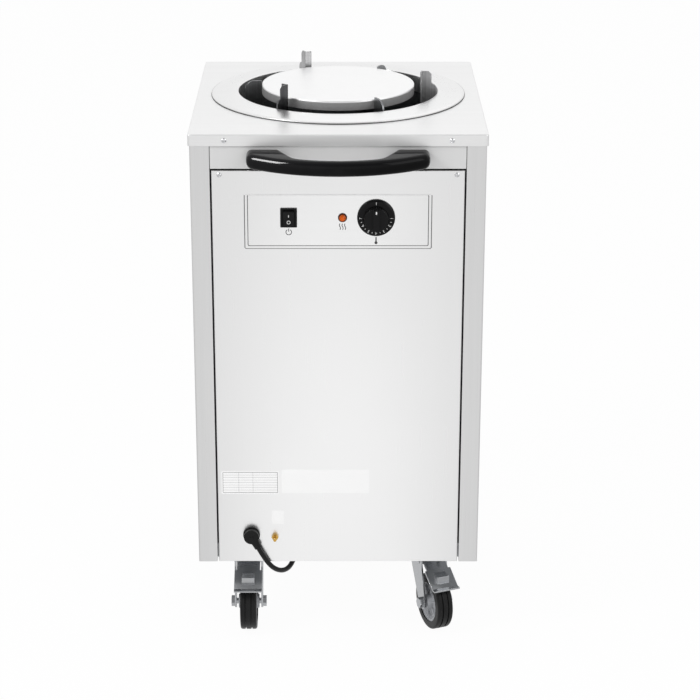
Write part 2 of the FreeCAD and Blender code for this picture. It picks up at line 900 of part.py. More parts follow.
def make_screws():
    """Make the cover's four screws and the front and rear panels' screws."""
    inward, outward = Vector(0, 1, 0), Vector(0, -1, 0)
    cover, panel = [], []
    for side in SIDES:
        x = COVER_SCREW_X * side
        front_spot = (x, MIDDLE - HALF_DEPTH, COVER_SCREW_Z)
        rear_spot = (x, MIDDLE + HALF_DEPTH, COVER_SCREW_Z)
        cover.append(screw("cover_screw", front_spot, inward, S.screw_length))
        cover.append(screw("cover_screw", rear_spot, outward, S.screw_length - S.cover_overhang))
        front_spot = (PANEL_SCREW_X * side, MIDDLE + FRONT, PANEL_SCREW_Z)
        panel.append(screw("panel_screw", front_spot, inward, S.panel_screw_length))
        for height in REAR_SCREW_ZS:
            spot = (REAR_SCREW_X * side, MIDDLE + REAR, height)
            panel.append(screw("panel_screw", spot, outward, S.screw_length))
    group("cover_screws", cover)
    group("panel_screws", panel)


def make_ring():
    """Form the opening ring: a crowned flange on the cover, with a collar down into the well."""
    thin = S.ring_sheet
    crown = TOP + S.ring_rise
    rim = TOP + S.ring_rim_rise
    profile = [
        (OPENING, TOP - S.ring_collar),
        (COLLAR_OUTER, TOP - S.ring_collar),
        (COLLAR_OUTER, crown - thin * 2),
        (COLLAR_OUTER + S.ring_shoulder - thin, crown - thin),
        (RING_OUTER - S.ring_bevel, rim + thin / 2 - thin),
        (RING_OUTER - thin, rim - thin),
        (RING_OUTER - thin, TOP),
        (RING_OUTER, TOP),
        (RING_OUTER, rim - thin / 2),
        (RING_OUTER - S.ring_bevel, rim + thin / 2),
        (OPENING + S.ring_shoulder, crown),
        (OPENING + thin, crown),
        (OPENING, crown - thin),
    ]
    ring = Piece("opening_ring", WELL)
    ring.turned("XZ", [profile], "V")


def make_well():
    """Roll the plate well, with three open slots for the lower spider's arms."""
    well = Piece("plate_well", WELL, S.arm_angle)
    wall = rectangle(WELL_INNER, S.well_bottom, WELL_OUTER, TOP - S.well_top_drop)
    well.turned("XZ", [wall], "V")
    half = S.slot_width / 2
    slot = rectangle(-half, S.well_bottom - S.overrun, half, S.slot_top)
    cut = well.pocket("YZ", [slot], S.well_wall + S.overrun * 3, WELL_OUTER + S.overrun)
    well.around([cut], 3)


def make_guide(label, turn):
    """Cut one plate guide: an upright fin with a shoulder at the ring and a folded rubbing lip."""
    inner = GUIDE_INNER
    outer = inner + S.guide_strip
    lobe = OPENING - S.well_gap
    foot = WELL_INNER - S.well_gap
    peak = TOP + S.guide_rise
    shoulder = TOP + S.guide_lobe_rise
    outline = [
        (inner, S.guide_bottom),
        (foot, S.guide_bottom),
        (foot, S.guide_bottom + S.guide_foot),
        (outer, S.guide_bottom + S.guide_foot + S.guide_lobe_taper),
        (outer, TOP - S.guide_lobe_drop - S.guide_lobe_taper),
        (lobe, TOP - S.guide_lobe_drop),
        (lobe, shoulder - S.guide_lobe_edge - S.guide_lobe_bulge, S.guide_lobe_bulge),
        (outer, shoulder),
        (outer, peak - S.guide_top_corner),
        (outer - S.guide_top_corner, peak),
        (inner, peak),
    ]
    guide = Piece(label, WELL, turn)
    guide.pad("XZ", [outline], S.guide_thickness, both=True)
    lip = rectangle(inner, -S.guide_lip, inner + S.guide_thickness, S.guide_thickness / 2)
    guide.pad("XY", [lip], peak - S.guide_bottom, S.guide_bottom)


def make_lift():
    """Make the platform, its arms with long legs, and the spider that the springs pull on."""
    disc_top = TOP + S.platform_rise
    disc_low = disc_top - S.platform_rim
    thin = S.platform_sheet
    disc = Piece("platform_disc", WELL)
    profile = [
        (ZERO, disc_top),
        (ZERO, disc_top - thin),
        (PLATFORM - thin, disc_top - thin),
        (PLATFORM - thin, disc_low),
        (PLATFORM, disc_low),
        (PLATFORM, disc_top),
    ]
    disc.turned("XZ", [profile], "V")
    disc.soften(S.platform_round, lies_at("Z", disc_top))
    arm_low = disc_low - S.arm_depth
    fin = PLATFORM + S.arm_gap
    fin_top = disc_top + S.arm_fin_rise
    spider_top = S.spider_height + S.spider_sheet
    arms = Piece("platform_arms", WELL, S.arm_angle)
    hub = rectangle(ZERO, arm_low, S.arm_hub_radius, disc_low)
    arms.turned("XZ", [hub], "V")
    outline = [
        (ZERO, arm_low),
        (LEG_INNER, arm_low),
        (LEG_INNER, spider_top),
        (LEG_OUTER, spider_top),
        (LEG_OUTER, arm_low - S.arm_fin_taper),
        (ARM_REACH, arm_low),
        (ARM_REACH, fin_top - S.arm_fin_radius, S.arm_fin_bulge),
        (ARM_REACH - S.arm_fin_radius, fin_top),
        (fin, fin_top),
        (fin, disc_low),
        (ZERO, disc_low),
    ]
    arm = arms.pad("XZ", [outline], S.arm_thickness, both=True)
    arms.around([arm], 3)
    spider = Piece("lower_spider", WELL, S.arm_angle)
    spider.pad("XY", [Circle(ZERO, ZERO, S.spider_hub_radius)], S.spider_sheet, S.spider_height)
    half = S.spider_width / 2
    bar = rectangle(ZERO, -half, SPIDER_REACH, half)
    reach = spider.pad("XY", [bar], S.spider_sheet, S.spider_height)
    hole = Circle(SPIDER_REACH - S.spring_hole_inset, ZERO, S.spider_hole_radius)
    drill = spider.pocket("XY", [hole], S.spider_sheet + S.overrun * 2, spider_top + S.overrun)
    spider.around([reach, drill], 3)


def make_springs():
    """Make the band that the springs hang from, and the three springs with their end eyes."""
    band_inner = WELL_OUTER + S.hanger_gap
    band = Piece("spring_hanger", WELL, S.arm_angle)
    low = S.hanger_height - S.hanger_band / 2
    strap = rectangle(band_inner, low, band_inner + S.hanger_sheet, low + S.hanger_band)
    band.turned("XZ", [strap], "V")
    half = S.spider_width / 2
    lug_low = S.hanger_height - S.spider_sheet / 2
    lug = rectangle(band_inner + S.hanger_sheet / 2, -half, SPIDER_REACH, half)
    shelf = band.pad("XY", [lug], S.spider_sheet, lug_low)
    hole = Circle(SPIDER_REACH - S.spring_hole_inset, ZERO, S.spider_hole_radius)
    drill = band.pocket("XY", [hole], S.spider_sheet + S.overrun * 2, lug_low + S.spider_sheet + S.overrun)
    band.around([shelf, drill], 3)
    line = SPIDER_REACH - S.spring_hole_inset + S.spring_eye_radius
    low_eye = S.spider_height + S.spider_sheet / 2 + S.spring_bear
    high_eye = S.hanger_height - S.spring_bear
    start = low_eye + S.spring_eye_radius + S.spring_neck_radius
    finish = high_eye - S.spring_eye_radius - S.spring_neck_radius
    members = []
    for step in range(3):
        turn = math.radians(S.arm_angle.value + 120 * step)
        x, y = line * math.cos(turn), line * math.sin(turn)
        spot = (x, WELL[1] + y, start)
        sleeve = less("spring_sleeve", rod("spring_outside", S.spring_radius, finish - start, spot),
                      [rod("spring_bore", S.spring_bore_radius, finish - start, spot)])
        pieces = [sleeve]
        for eye, end in ((low_eye, start), (high_eye, finish)):
            ring = doc.addObject("Part::Torus", "spring_eye")
            bind(ring, "Radius1", S.spring_eye_radius)
            bind(ring, "Radius2", S.spring_wire_radius)
            side = Vector(-math.sin(turn), math.cos(turn), 0)
            aim(ring, (x, WELL[1] + y, eye), side)
            cap_low = end - S.spring_neck_radius if eye is low_eye else end - S.spring_wire_radius
            cap = rod("spring_cap", S.spring_bore_radius + S.spring_wire_radius,
                      S.spring_neck_radius + S.spring_wire_radius, (x, WELL[1] + y, cap_low))
            pieces += [ring, cap]
        members.append(joined("lift_spring", pieces))
    group("lift_springs", members)


def make_controls():
    """Make the control plate, its overlay, the switch, the lamp, the thermostat and the knob."""
    plate_low = TOP - S.plate_top_drop - S.plate_height
    plate_high = TOP - S.plate_top_drop
    face = FRONT - S.plate_sheet
    skin = face - S.overlay_sheet
    body_wide = S.switch_body_width + S.switch_gap * 2
    body_high = S.switch_body_height + S.switch_gap * 2
    holes = [
        centred(S.switch_x, CONTROL_Z, body_wide, body_high),
        Circle(S.lamp_x, CONTROL_Z, S.lamp_barrel_radius + S.switch_gap),
        Circle(S.knob_x, CONTROL_Z, S.shaft_hole_radius),
    ]
    plate = Piece("control_plate", CABINET)
    wide = S.plate_half_width
    plate.pad("XZ", [rectangle(-wide, plate_low, wide, plate_high)], S.plate_sheet, -FRONT)
    plate.soften(S.plate_corner, runs_along("Y"))
    plate.pocket("XZ", holes, S.plate_sheet + S.overrun * 2, -FRONT + S.overrun * 2)
    inset = S.overlay_inset
    overlay = Piece("control_overlay", CABINET)
    outline = rectangle(-wide + inset, plate_low + inset, wide - inset, plate_high - S.overlay_top_inset)
    overlay.pad("XZ", [outline], S.overlay_sheet, -face)
    overlay.soften(S.plate_corner, runs_along("Y"))
    overlay.pocket("XZ", holes, S.overlay_sheet + S.overrun * 2, -face + S.overrun * 2)
    make_switch(skin)
    make_lamp(skin)
    make_dial(skin)


def make_switch(skin):
    """Make the rocker switch: a snap-in body with a bezel, and the tilted rocker in its well."""
    centre = (S.switch_x, CONTROL_Z)
    body = Piece("switch_body", CABINET)
    body.pad("XZ", [centred(*centre, S.switch_width, S.switch_height)], S.switch_bezel, -skin)
    body.soften(S.switch_bezel / 2, runs_along("Y"))
    shell = centred(*centre, S.switch_body_width, S.switch_body_height)
    body.pad("XZ", [shell], S.switch_body_depth, -skin, back=True)
    well = centred(*centre, S.rocker_width + S.rocker_side_gap * 2, S.rocker_height + S.rocker_gap * 2)
    body.pocket("XZ", [well], S.rocker_well, -skin + S.switch_bezel)
    pivot = (S.switch_x, MIDDLE + skin - S.switch_bezel, CONTROL_Z)
    rocker = Piece("rocker_button", pivot)
    rocker.body.Placement = FreeCAD.Placement(
        rocker.body.Placement.Base,
        FreeCAD.Rotation(Vector(1, 0, 0), S.rocker_tilt.value),
    )
    half = S.rocker_height / 2
    profile = [
        (S.rocker_back, -half),
        (S.rocker_back, half),
        (-S.rocker_front, half),
        (-(S.rocker_front - S.rocker_dip), ZERO),
        (-S.rocker_front, -half),
    ]
    rocker.pad("YZ", [profile], S.rocker_width, both=True)


def make_lamp(skin):
    """Make the signal lamp: a barrel with a ring in front, and the lens seated in it."""
    spot = (S.lamp_x, MIDDLE + skin, CONTROL_Z)
    barrel = Piece("lamp_body", spot)
    ring = S.lamp_ring_height
    seat = S.lamp_floor
    profile = [
        (ZERO, S.lamp_barrel_length),
        (ZERO, -(ring - seat)),
        (S.lamp_lens_radius, -(ring - seat)),
        (S.lamp_lens_radius, -ring),
        (S.lamp_ring_radius - seat / 2, -ring),
        (S.lamp_ring_radius, -ring + seat),
        (S.lamp_ring_radius, ZERO),
        (S.lamp_barrel_radius, ZERO),
        (S.lamp_barrel_radius, S.lamp_barrel_length),
    ]
    barrel.turned("XY", [profile], "V")
    lens = Piece("lamp_lens", spot)
    rim = S.lamp_lens_radius - S.well_gap / 4
    profile = [
        (ZERO, -(ring - seat)),
        (ZERO, -S.lamp_lens_height),
        (S.lamp_lens_crown, -S.lamp_lens_height),
        (rim, -(ring + seat)),
        (rim, -(ring - seat)),
    ]
    lens.turned("XY", [profile], "V")


def make_dial(skin):
    """Make the thermostat with its shaft, and the knob: a skirt, a round grip and a grip bar."""
    spot = (S.knob_x, MIDDLE + skin, CONTROL_Z)
    stat = Piece("thermostat", spot)
    back = -(skin - FRONT)
    half = S.thermostat_width
    stat.pad("XZ", [centred(ZERO, ZERO, half, half)], S.thermostat_depth, -back, back=True)
    shaft = Circle(ZERO, ZERO, S.shaft_radius)
    stat.pad("XZ", [shaft], S.shaft_reach + back, -back)
    knob = Piece("dial_knob", spot)
    bore = S.shaft_radius + S.shaft_gap
    low = -S.knob_gap
    bore_end = -(S.shaft_reach + S.knob_gap)
    profile = [
        (bore, low),
        (bore, bore_end),
        (ZERO, bore_end),
        (ZERO, -S.knob_grip_height - S.knob_gap * 2),
        (S.knob_grip_radius - S.knob_grip_taper, -S.knob_grip_height - S.knob_gap * 2),
        (S.knob_grip_radius, -S.knob_skirt),
        (S.knob_radius - S.knob_skirt_edge, -S.knob_skirt),
        (S.knob_radius, -S.knob_skirt_edge),
        (S.knob_radius, low),
    ]
    knob.turned("XY", [profile], "V")
    bar = centred(ZERO, ZERO, S.knob_bar_width, (S.knob_grip_radius - S.knob_bar_inset) * 2)
    knob.pad("XZ", [bar], S.knob_bar_height - S.knob_grip_height, S.knob_grip_height)

    def bar_rims(edge):
        return near(spans(edge, "Y")[0], -S.knob_bar_height)

    knob.soften(S.knob_round, bar_rims)


def make_heat():
    """Make the heating element on its posts, and the terminal block on the base."""
    tube = S.heater_tube_radius
    ring = doc.addObject("Part::Torus", "heater_loop")
    bind(ring, "Radius1", S.heater_ring_radius)
    bind(ring, "Radius2", tube)
    ring.setExpression("Angle3", "360 - Dims.heater_gap_angle")
    level = (ZERO, WELL[1], S.heater_height)
    place(ring, level, S.heater_gap_angle / 2)
    half = math.radians(S.heater_gap_angle.value / 2)
    shapes = [ring]
    for side in SIDES:
        x = S.heater_ring_radius * math.cos(half)
        y = S.heater_ring_radius * math.sin(half) * side
        spot = (x, WELL[1] + y, S.heater_height - S.heater_tail)
        shapes.append(rod("heater_end", tube, S.heater_tail, spot))
        ball = doc.addObject("Part::Sphere", "heater_bend")
        bind(ball, "Radius", tube)
        place(ball, (x, WELL[1] + y, S.heater_height))
        shapes.append(ball)
    joined("heating_element", shapes, keep=True)
    posts = []
    height = S.heater_height - tube - BASE_TOP
    for step in range(3):
        turn = math.radians(90 + 90 * step)
        x = S.heater_ring_radius * math.cos(turn) - S.post_width / 2
        y = S.heater_ring_radius * math.sin(turn) - S.post_width / 2
        posts.append(block("heater_post", (S.post_width, S.post_width, height), (x, WELL[1] + y, BASE_TOP)))
    group("heater_posts", posts)
    corner = (S.gland_x, MIDDLE + FRONT + S.block_setback, BASE_TOP)
    terminal = block("terminal_block", (S.block_width, S.block_depth, S.block_height), corner)
    NODES.append(terminal)


def make_terminals():
    """Make the cord gland with its drooping boot, the earth stud with its nuts, and the cord clip."""
    face = MIDDLE + FRONT
    out = Vector(0, -1, 0)
    centre = (S.gland_x, face, GLAND_Z)
    flange = rod("gland_flange", S.gland_flange_radius, S.gland_flange, centre, out)
    cap = rod("gland_cap", S.gland_cap_radius, S.gland_cap, centre, out)
    thread = rod("gland_thread", S.gland_thread_radius, S.gland_thread, centre, -out)
    knee = (S.gland_x, face - S.gland_cap / 2, GLAND_Z)
    boot = cone("gland_boot", S.boot_radius, S.boot_tip_radius, S.boot_length, knee, BOOT_AIM)
    body = joined("gland_body", [flange, cap, thread, boot])
    body.Label = "cord_gland"
    NODES.append(body)
    nut = Piece("gland_nut", (S.gland_x, face, GLAND_Z))
    nut.pad("XZ", [hexagon(ZERO, ZERO, S.gland_nut_width)], S.gland_nut, -S.sheet, back=True)
    bore = Circle(ZERO, ZERO, S.gland_thread_radius + S.earth_gap)
    nut.pocket("XZ", [bore], S.gland_nut + S.overrun * 2, -S.sheet + S.overrun)
    stud = Piece("earth_stud", (S.earth_x, face, EARTH_Z), keep=False)
    stud.pad("XZ", [Circle(ZERO, ZERO, S.earth_radius)], S.earth_length, -S.earth_inside)
    stud.pad("XZ", [Circle(ZERO, ZERO, S.earth_tip_radius)], S.earth_tip, S.earth_length - S.earth_inside)
    nuts = Piece("earth_nut", (S.earth_x, face, EARTH_Z), keep=False)
    nuts.pad("XZ", [hexagon(ZERO, ZERO, S.earth_nut_width)], S.earth_nut)
    bore = Circle(ZERO, ZERO, S.earth_radius + S.earth_gap)
    nuts.pocket("XZ", [bore], S.earth_nut + S.overrun * 2, S.earth_nut + S.overrun)
    group("earth_terminal", [stud.body, nuts.body])
    clip_z = BASE_LOW - S.clip_wall - S.clip_gap - S.cord_radius
    clip = Piece("cord_clip", (S.clip_x, face + S.clip_setback, clip_z))
    hole = S.cord_radius + S.clip_gap
    ring = hole + S.clip_wall
    clip.pad("XZ", [Circle(ZERO, ZERO, ring)], S.clip_length, both=True)
    tab = rectangle(-ring - S.clip_tab, hole, ring, ring)
    clip.pad("XZ", [tab], S.clip_length, both=True)
    clip.pocket("XZ", [Circle(ZERO, ZERO, hole)], S.clip_length + S.overrun, both=True)


def make_castor(name, spot, turn, braked):
    """Make one castor: fork, axle, hub, tyre and, where it has one, the brake pedal."""
    place_at = (spot[0], MIDDLE + spot[1], ZERO)
    half = S.fork_inner / 2
    outer = half + S.fork_sheet
    fork = Piece("fork_" + name, place_at, turn)
    crown = rectangle(-outer, -S.fork_front, outer, S.fork_back)
    fork.pad("XY", [crown], S.fork_crown, FORK_TOP - S.fork_crown)
    leg = [
        (S.fork_back, FORK_TOP),
        (-S.fork_front, FORK_TOP),
        (-(S.trail + S.fork_boss), WHEEL, S.fork_sole),
        (-(S.trail - S.fork_boss), WHEEL),
    ]
    for side in SIDES:
        fork.pad("YZ", [leg], S.fork_sheet, half * side, back=side < 0)
    head = Circle(ZERO, ZERO, S.fork_head_radius)
    fork.pad("XY", [head], S.fork_head_rise, FORK_TOP)
    bore = Circle(ZERO, ZERO, S.pin_radius + S.pin_gap)
    depth = S.fork_head_rise + S.fork_crown + S.overrun * 2
    fork.pocket("XY", [bore], depth, FORK_TOP + S.fork_head_rise + S.overrun)
    axle_hole = Circle(-S.trail, WHEEL, S.axle_radius + S.axle_gap)
    holes = [axle_hole]
    if braked:
        pin = (-S.pedal_pin_forward, PEDAL_PIN_Z)
        holes.append(Circle(*pin, S.pedal_pin_radius + S.pedal_pin_gap))
    fork.pocket("YZ", holes, outer * 2 + S.overrun, both=True)
    axle = Piece("axle_bolt", place_at, turn, keep=False)
    length = outer * 2 + S.axle_head * 2
    axle.pad("YZ", [Circle(-S.trail, WHEEL, S.axle_radius)], length, both=True)
    for side in SIDES:
        hexa = hexagon(-S.trail, WHEEL, S.axle_hex)
        axle.pad("YZ", [hexa], S.axle_head, outer * side, back=side < 0)
    pins = [axle.body]
    make_wheel(name, place_at, turn)
    if braked:
        pins.append(make_pedal(name, place_at, turn, outer))
    group("pins_" + name, pins)


def make_wheel(name, place_at, turn):
    """Turn one wheel about its axle: a webbed hub and a rounded tyre with two tread grooves."""
    turn_rad = math.radians(turn.value)
    centre = (
        place_at[0] + S.trail * math.sin(turn_rad),
        place_at[1] - S.trail * math.cos(turn_rad),
        WHEEL,
    )
    seat = WHEEL - S.tyre_depth
    half = S.wheel_width / 2
    hub = Piece("hub_" + name, centre, turn)
    bore = S.axle_radius + S.axle_gap
    wide, web = S.hub_width / 2, S.hub_web / 2
    profile = [
        (-wide, bore),
        (wide, bore),
        (wide, S.hub_boss_radius),
        (web, S.hub_boss_radius + S.hub_rim),
        (web, seat - S.hub_rim * 2),
        (half - S.groove_depth, seat - S.hub_rim),
        (half - S.groove_depth, seat),
        (-(half - S.groove_depth), seat),
        (-(half - S.groove_depth), seat - S.hub_rim),
        (-web, seat - S.hub_rim * 2),
        (-web, S.hub_boss_radius + S.hub_rim),
        (-wide, S.hub_boss_radius),
    ]
    hub.turned("XZ", [profile], "H")
    tyre = Piece("tyre_" + name, centre, turn)
    tyre.turned("XZ", [rectangle(-half, seat, half, WHEEL)], "H")

    def tread(edge):
        box = edge.BoundBox
        return near(box.ZMax, WHEEL) and near(box.XMin, box.XMax)

    tyre.soften(S.tyre_round, tread)
    grooves = []
    for side in SIDES:
        x = S.groove_place * side
        edge = S.groove_width / 2
        low, high = WHEEL - S.groove_depth, WHEEL + S.overrun
        grooves.append(rectangle(x - edge, low, x + edge, high))
    tyre.turned("XZ", grooves, "H", cut=True)


def make_pedal(name, place_at, turn, outer):
    """Bend one brake pedal: a sloping plate with a wide foot, a lip, a step and an eye on its pin."""
    pin_y, pin_z = -S.pedal_pin_forward, PEDAL_PIN_Z
    pedal = Piece("brake_pedal_" + name, place_at, turn)
    thick = S.pedal_sheet
    eye = Circle(pin_y, pin_z, S.pedal_eye_radius)
    pedal.pad("YZ", [eye], S.pedal_width, both=True)
    plate = [
        (-S.pedal_top_forward, PEDAL_TOP_Z),
        (-S.pedal_top_forward, PEDAL_TOP_Z - thick * 2),
        (-S.pedal_lip_forward, PEDAL_LIP_Z - thick),
        (-S.pedal_lip_forward - S.pedal_lip, PEDAL_LIP_Z - thick),
        (-S.pedal_lip_forward - S.pedal_lip, PEDAL_LIP_Z),
        (-S.pedal_lip_forward, PEDAL_LIP_Z),
    ]
    web = [
        (pin_y, pin_z + S.pedal_eye_radius / 2),
        (pin_y, pin_z - S.pedal_eye_radius / 2),
        (-S.pedal_top_forward - thick, PEDAL_TOP_Z - thick * 2),
        (-S.pedal_top_forward, PEDAL_TOP_Z),
    ]
    pedal.pad("YZ", [web], S.pedal_width, both=True)
    pedal.pad("YZ", [plate], S.pedal_width, both=True)
    run = S.pedal_lip_forward - S.pedal_top_forward
    slope = (PEDAL_TOP_Z - PEDAL_LIP_Z) / run
    under = (PEDAL_TOP_Z - PEDAL_LIP_Z - thick) / run
    foot_run = S.pedal_foot_forward - S.pedal_top_forward
    foot = [
        (-S.pedal_foot_forward, PEDAL_TOP_Z - foot_run * slope),
        (-S.pedal_foot_forward, PEDAL_TOP_Z - thick * 2 - foot_run * under),
    ] + plate[2:]
    pedal.pad("YZ", [foot], S.pedal_foot_width, both=True)
    back_z = PEDAL_TOP_Z - (S.pedal_tab_back - S.pedal_top_forward) * slope
    front_z = PEDAL_TOP_Z - (S.pedal_tab_front - S.pedal_top_forward) * slope
    step = [
        (-S.pedal_tab_back, back_z - thick / 2),
        (-S.pedal_tab_front, front_z - thick / 2),
        (-S.pedal_tab_front, back_z),
        (-S.pedal_tab_back, back_z),
    ]
    pedal.pad("YZ", [step], S.pedal_tab_width, both=True)
    bore = Circle(pin_y, pin_z, S.pedal_pin_radius + S.pedal_pin_gap)
    pedal.pocket("YZ", [bore], outer * 2 + S.overrun, both=True)
    pin = Piece("pedal_pin", place_at, turn, keep=False)
    pin.pad("YZ", [Circle(pin_y, pin_z, S.pedal_pin_radius)], outer * 2 + S.pedal_sheet, both=True)
    return pin.body


def make_castor_plates():
    """Make the fixed half of each castor: top plate, race and king pin. Then bolt them on."""
    plates = []
    plate_low = BASE_LOW - S.castor_plate_sheet
    race_low = FORK_TOP + S.fork_head_rise + S.race_gap
    pin_low = FORK_TOP - S.fork_crown - S.race_gap - S.pin_head
    holes = [(S.bolt_x * i, S.bolt_y * j) for i in SIDES for j in SIDES]
    for x, y in castor_spots().values():
        top = Piece("castor_plate", (x, MIDDLE + y, ZERO), keep=False)
        outline = centred(ZERO, ZERO, S.plate_length, S.plate_width)
        top.pad("XY", [outline], S.castor_plate_sheet, plate_low)
        top.soften(S.castor_plate_round, runs_along("Z"))
        top.pad("XY", [Circle(ZERO, ZERO, S.race_radius)], plate_low - race_low, race_low)
        top.pad("XY", [Circle(ZERO, ZERO, S.pin_radius)], race_low - pin_low, pin_low)
        top.pad("XY", [Circle(ZERO, ZERO, S.pin_head_radius)], S.pin_head, pin_low)
        drills = [Circle(i, j, S.bolt_radius + S.bolt_hole_gap) for i, j in holes]
        depth = S.castor_plate_sheet + S.overrun * 2
        top.pocket("XY", drills, depth, BASE_LOW + S.overrun)
        plates.append(top.body)
    group("castor_plates", plates)
    bolts = []
    for x, y in bolt_spots():
        bolt = Piece("castor_bolt", (x, MIDDLE + y, ZERO), keep=False)
        bolt.pad("XY", [hexagon(ZERO, ZERO, S.bolt_hex)], S.bolt_head, plate_low - S.bolt_head)
        bolt.pad("XY", [Circle(ZERO, ZERO, S.bolt_radius)], S.bolt_length, plate_low)
        bolt.pad("XY", [hexagon(ZERO, ZERO, S.bolt_hex)], S.bolt_head, BASE_TOP)
        bolts.append(bolt.body)
    group("castor_bolts", bolts)


def unit(*parts):
    """Return a direction of length one."""
    return Vector(*parts).normalize()


BOOT_AIM = unit(0.46, -0.02, -0.887)


def tube(label, wire, radius):
    """Sweep a round section along a wire, as one solid."""
    start = wire.Edges[0]
    first = start.valueAt(start.FirstParameter)
    heading = start.tangentAt(start.FirstParameter)
    section = Part.Wire([Part.makeCircle(radius, first, heading)])
    made = doc.addObject("Part::Feature", label)
    made.Label = label
    solid = wire.makePipeShell([section], True, False)
    made.Shape = solid
    even = wire.Length * math.pi * radius * radius
    print("%s: length %.1f, volume over even tube %.4f" % (label, wire.Length, solid.Volume / even))
    NODES.append(made)
    return made


def cord_wire(points):
    """Return straight runs joined by tangent arcs through a cord's route points, printing the radii."""
    edges, radii = [], []
    last = points[0]
    runs = [(after - before).Length for before, after in zip(points, points[1:])]
    reach_share = 0.45
    for number in range(1, len(points) - 1):
        before, corner, after = points[number - 1:number + 2]
        back = (before - corner).normalize()
        ahead = (after - corner).normalize()
        turn = math.pi - back.getAngle(ahead)
        reach = reach_share * min(runs[number - 1], runs[number])
        radius = reach / math.tan(turn / 2)
        radii.append(radius)
        start, finish = corner + back * reach, corner + ahead * reach
        inward = (back + ahead).normalize()
        hub = corner + inward * math.sqrt(radius * radius + reach * reach)
        middle = hub - inward * radius
        edges.append(Part.makeLine(last, start))
        edges.append(Part.Arc(start, middle, finish).toShape())
        last = finish
    edges.append(Part.makeLine(last, points[-1]))
    print("cord radii in diameters:", ["%.1f" % (radius / S.cord_radius.value / 2) for radius in radii])
    return Part.Wire(edges)


def biarc(start, heading, finish, leaving):
    """Return two arcs that join two points and their headings smoothly."""
    span = finish - start
    both = heading + leaving
    bend = 2 * (1 - heading.dot(leaving))
    reach = (math.sqrt(span.dot(both) ** 2 + bend * span.dot(span)) - span.dot(both)) / bend
    first, second = start + heading * reach, finish - leaving * reach
    meet = (first + second) / 2
    edges = []
    for begin, corner, end in ((start, first, meet), (meet, second, finish)):
        middle = (begin + end) / 2
        rise = (corner - middle).Length
        half = (end - begin).Length / 2
        radius = half * math.sqrt(half * half + rise * rise) / rise
        sagitta = radius - math.sqrt(radius * radius - half * half)
        edges.append(Part.Arc(begin, middle + (corner - middle).normalize() * sagitta, end).toShape())
    return edges


# The mains cord's route, as places across, behind the front face and above the floor. It leaves the
# boot, passes under the front panel's edge beside the castor, runs through the clip and drops behind.
CORD_ROUTE = [
    (-100.3, 7.2, 124.5),
    (-84.1, 33.3, 115.5),
    (-74.5, 63, 121.5),
    (-69, 93, 134),
    (-67, 124, 141.6),
    (-67, 158, 141.6),
    (-66.7, 192, 133.5),
    (-66.5, 225, 112),
    (-66, 251.5, 86),
    (-64.5, 276.9, 58.5),
    (-59.7, 298.9, 29.9),
    (-45.5, 310.1, 13.6),
]
COIL_QUARTERS = 20
CLIMB_QUARTERS = 2


def coil_keys():
    """Return the coil's places and headings at each quarter turn: in below, up a layer, out above."""
    middle = COIL_QUARTERS / 2
    centre = Vector(S.coil_x.value, (MIDDLE + FRONT + S.coil_setback).value, 0)
    low = (S.cord_radius + S.coil_lift).value
    drift = (S.coil_pitch / 4).value
    layer = S.coil_layer.value
    keys = []
    for step in range(COIL_QUARTERS + 1):
        radius = S.coil_inner_radius.value + drift * abs(step - middle)
        climbed_share = min(max((step - middle) / CLIMB_QUARTERS + 0.5, 0), 1)
        inner = 0 < step < COIL_QUARTERS and step != middle
        outward = math.copysign(drift, step - middle) if inner else 0
        rise = layer / CLIMB_QUARTERS if step == middle else 0
        turn = math.radians(90 * (step - 1))
        away = Vector(math.cos(turn), math.sin(turn), 0)
        ahead = Vector(-away.y, away.x, 0) * (radius * math.pi / 2)
        heading = ahead + away * outward + UP * rise
        keys.append((centre + away * radius + UP * (low + climbed_share * layer), heading.normalize()))
    return keys


def least_gap(wire, radius):
    """Return the least gap between a coil's loops, measured on points along its middle line."""
    count = int(wire.Length / radius)
    points = wire.discretize(count)
    step = wire.Length / (count - 1)
    apart = int(math.pi * 3 * radius / step)
    gaps = [
        (points[i] - points[j]).Length
        for i in range(count)
        for j in range(i + apart, count)
    ]
    return min(gaps) - 2 * radius


def make_cord():
    """Lay the mains cord: a free lead, a coil of real loops, a short tail and the plug."""
    radius = S.cord_radius.value
    face = (MIDDLE + FRONT).value
    knee = Vector(S.gland_x.value, face - S.gland_cap.value / 2, GLAND_Z.value)
    tip = knee + BOOT_AIM * S.boot_length.value
    keys = coil_keys()
    entry, exit_spot = keys[0][0], keys[-1][0]
    route = [tip, tip + BOOT_AIM * S.lead_run.value]
    route += [Vector(x, face + back, z) for x, back, z in CORD_ROUTE]
    route += [entry - keys[0][1] * S.coil_run.value, entry]
    tube("mains_cord", cord_wire(route), radius)
    edges = []
    for (start, heading), (finish, leaving) in zip(keys, keys[1:]):
        edges += biarc(start, heading, finish, leaving)
    loops = Part.Wire(edges)
    print("coil gap %.2f" % least_gap(loops, radius))
    tube("cord_coil", loops, radius)
    axis_z = (S.plug_radius + S.coil_lift).value
    start = Vector(exit_spot.x + S.plug_lead.value, exit_spot.y, axis_z)
    level = unit(1, 0, 0)
    sloped = unit(start.x - exit_spot.x, 0, 2 * (start.z - exit_spot.z))
    half_way = (exit_spot + start) / 2
    tail = biarc(exit_spot, level, half_way, sloped) + biarc(half_way, sloped, start, level)
    tube("cord_tail", Part.Wire(tail), radius)
    make_plug(start)


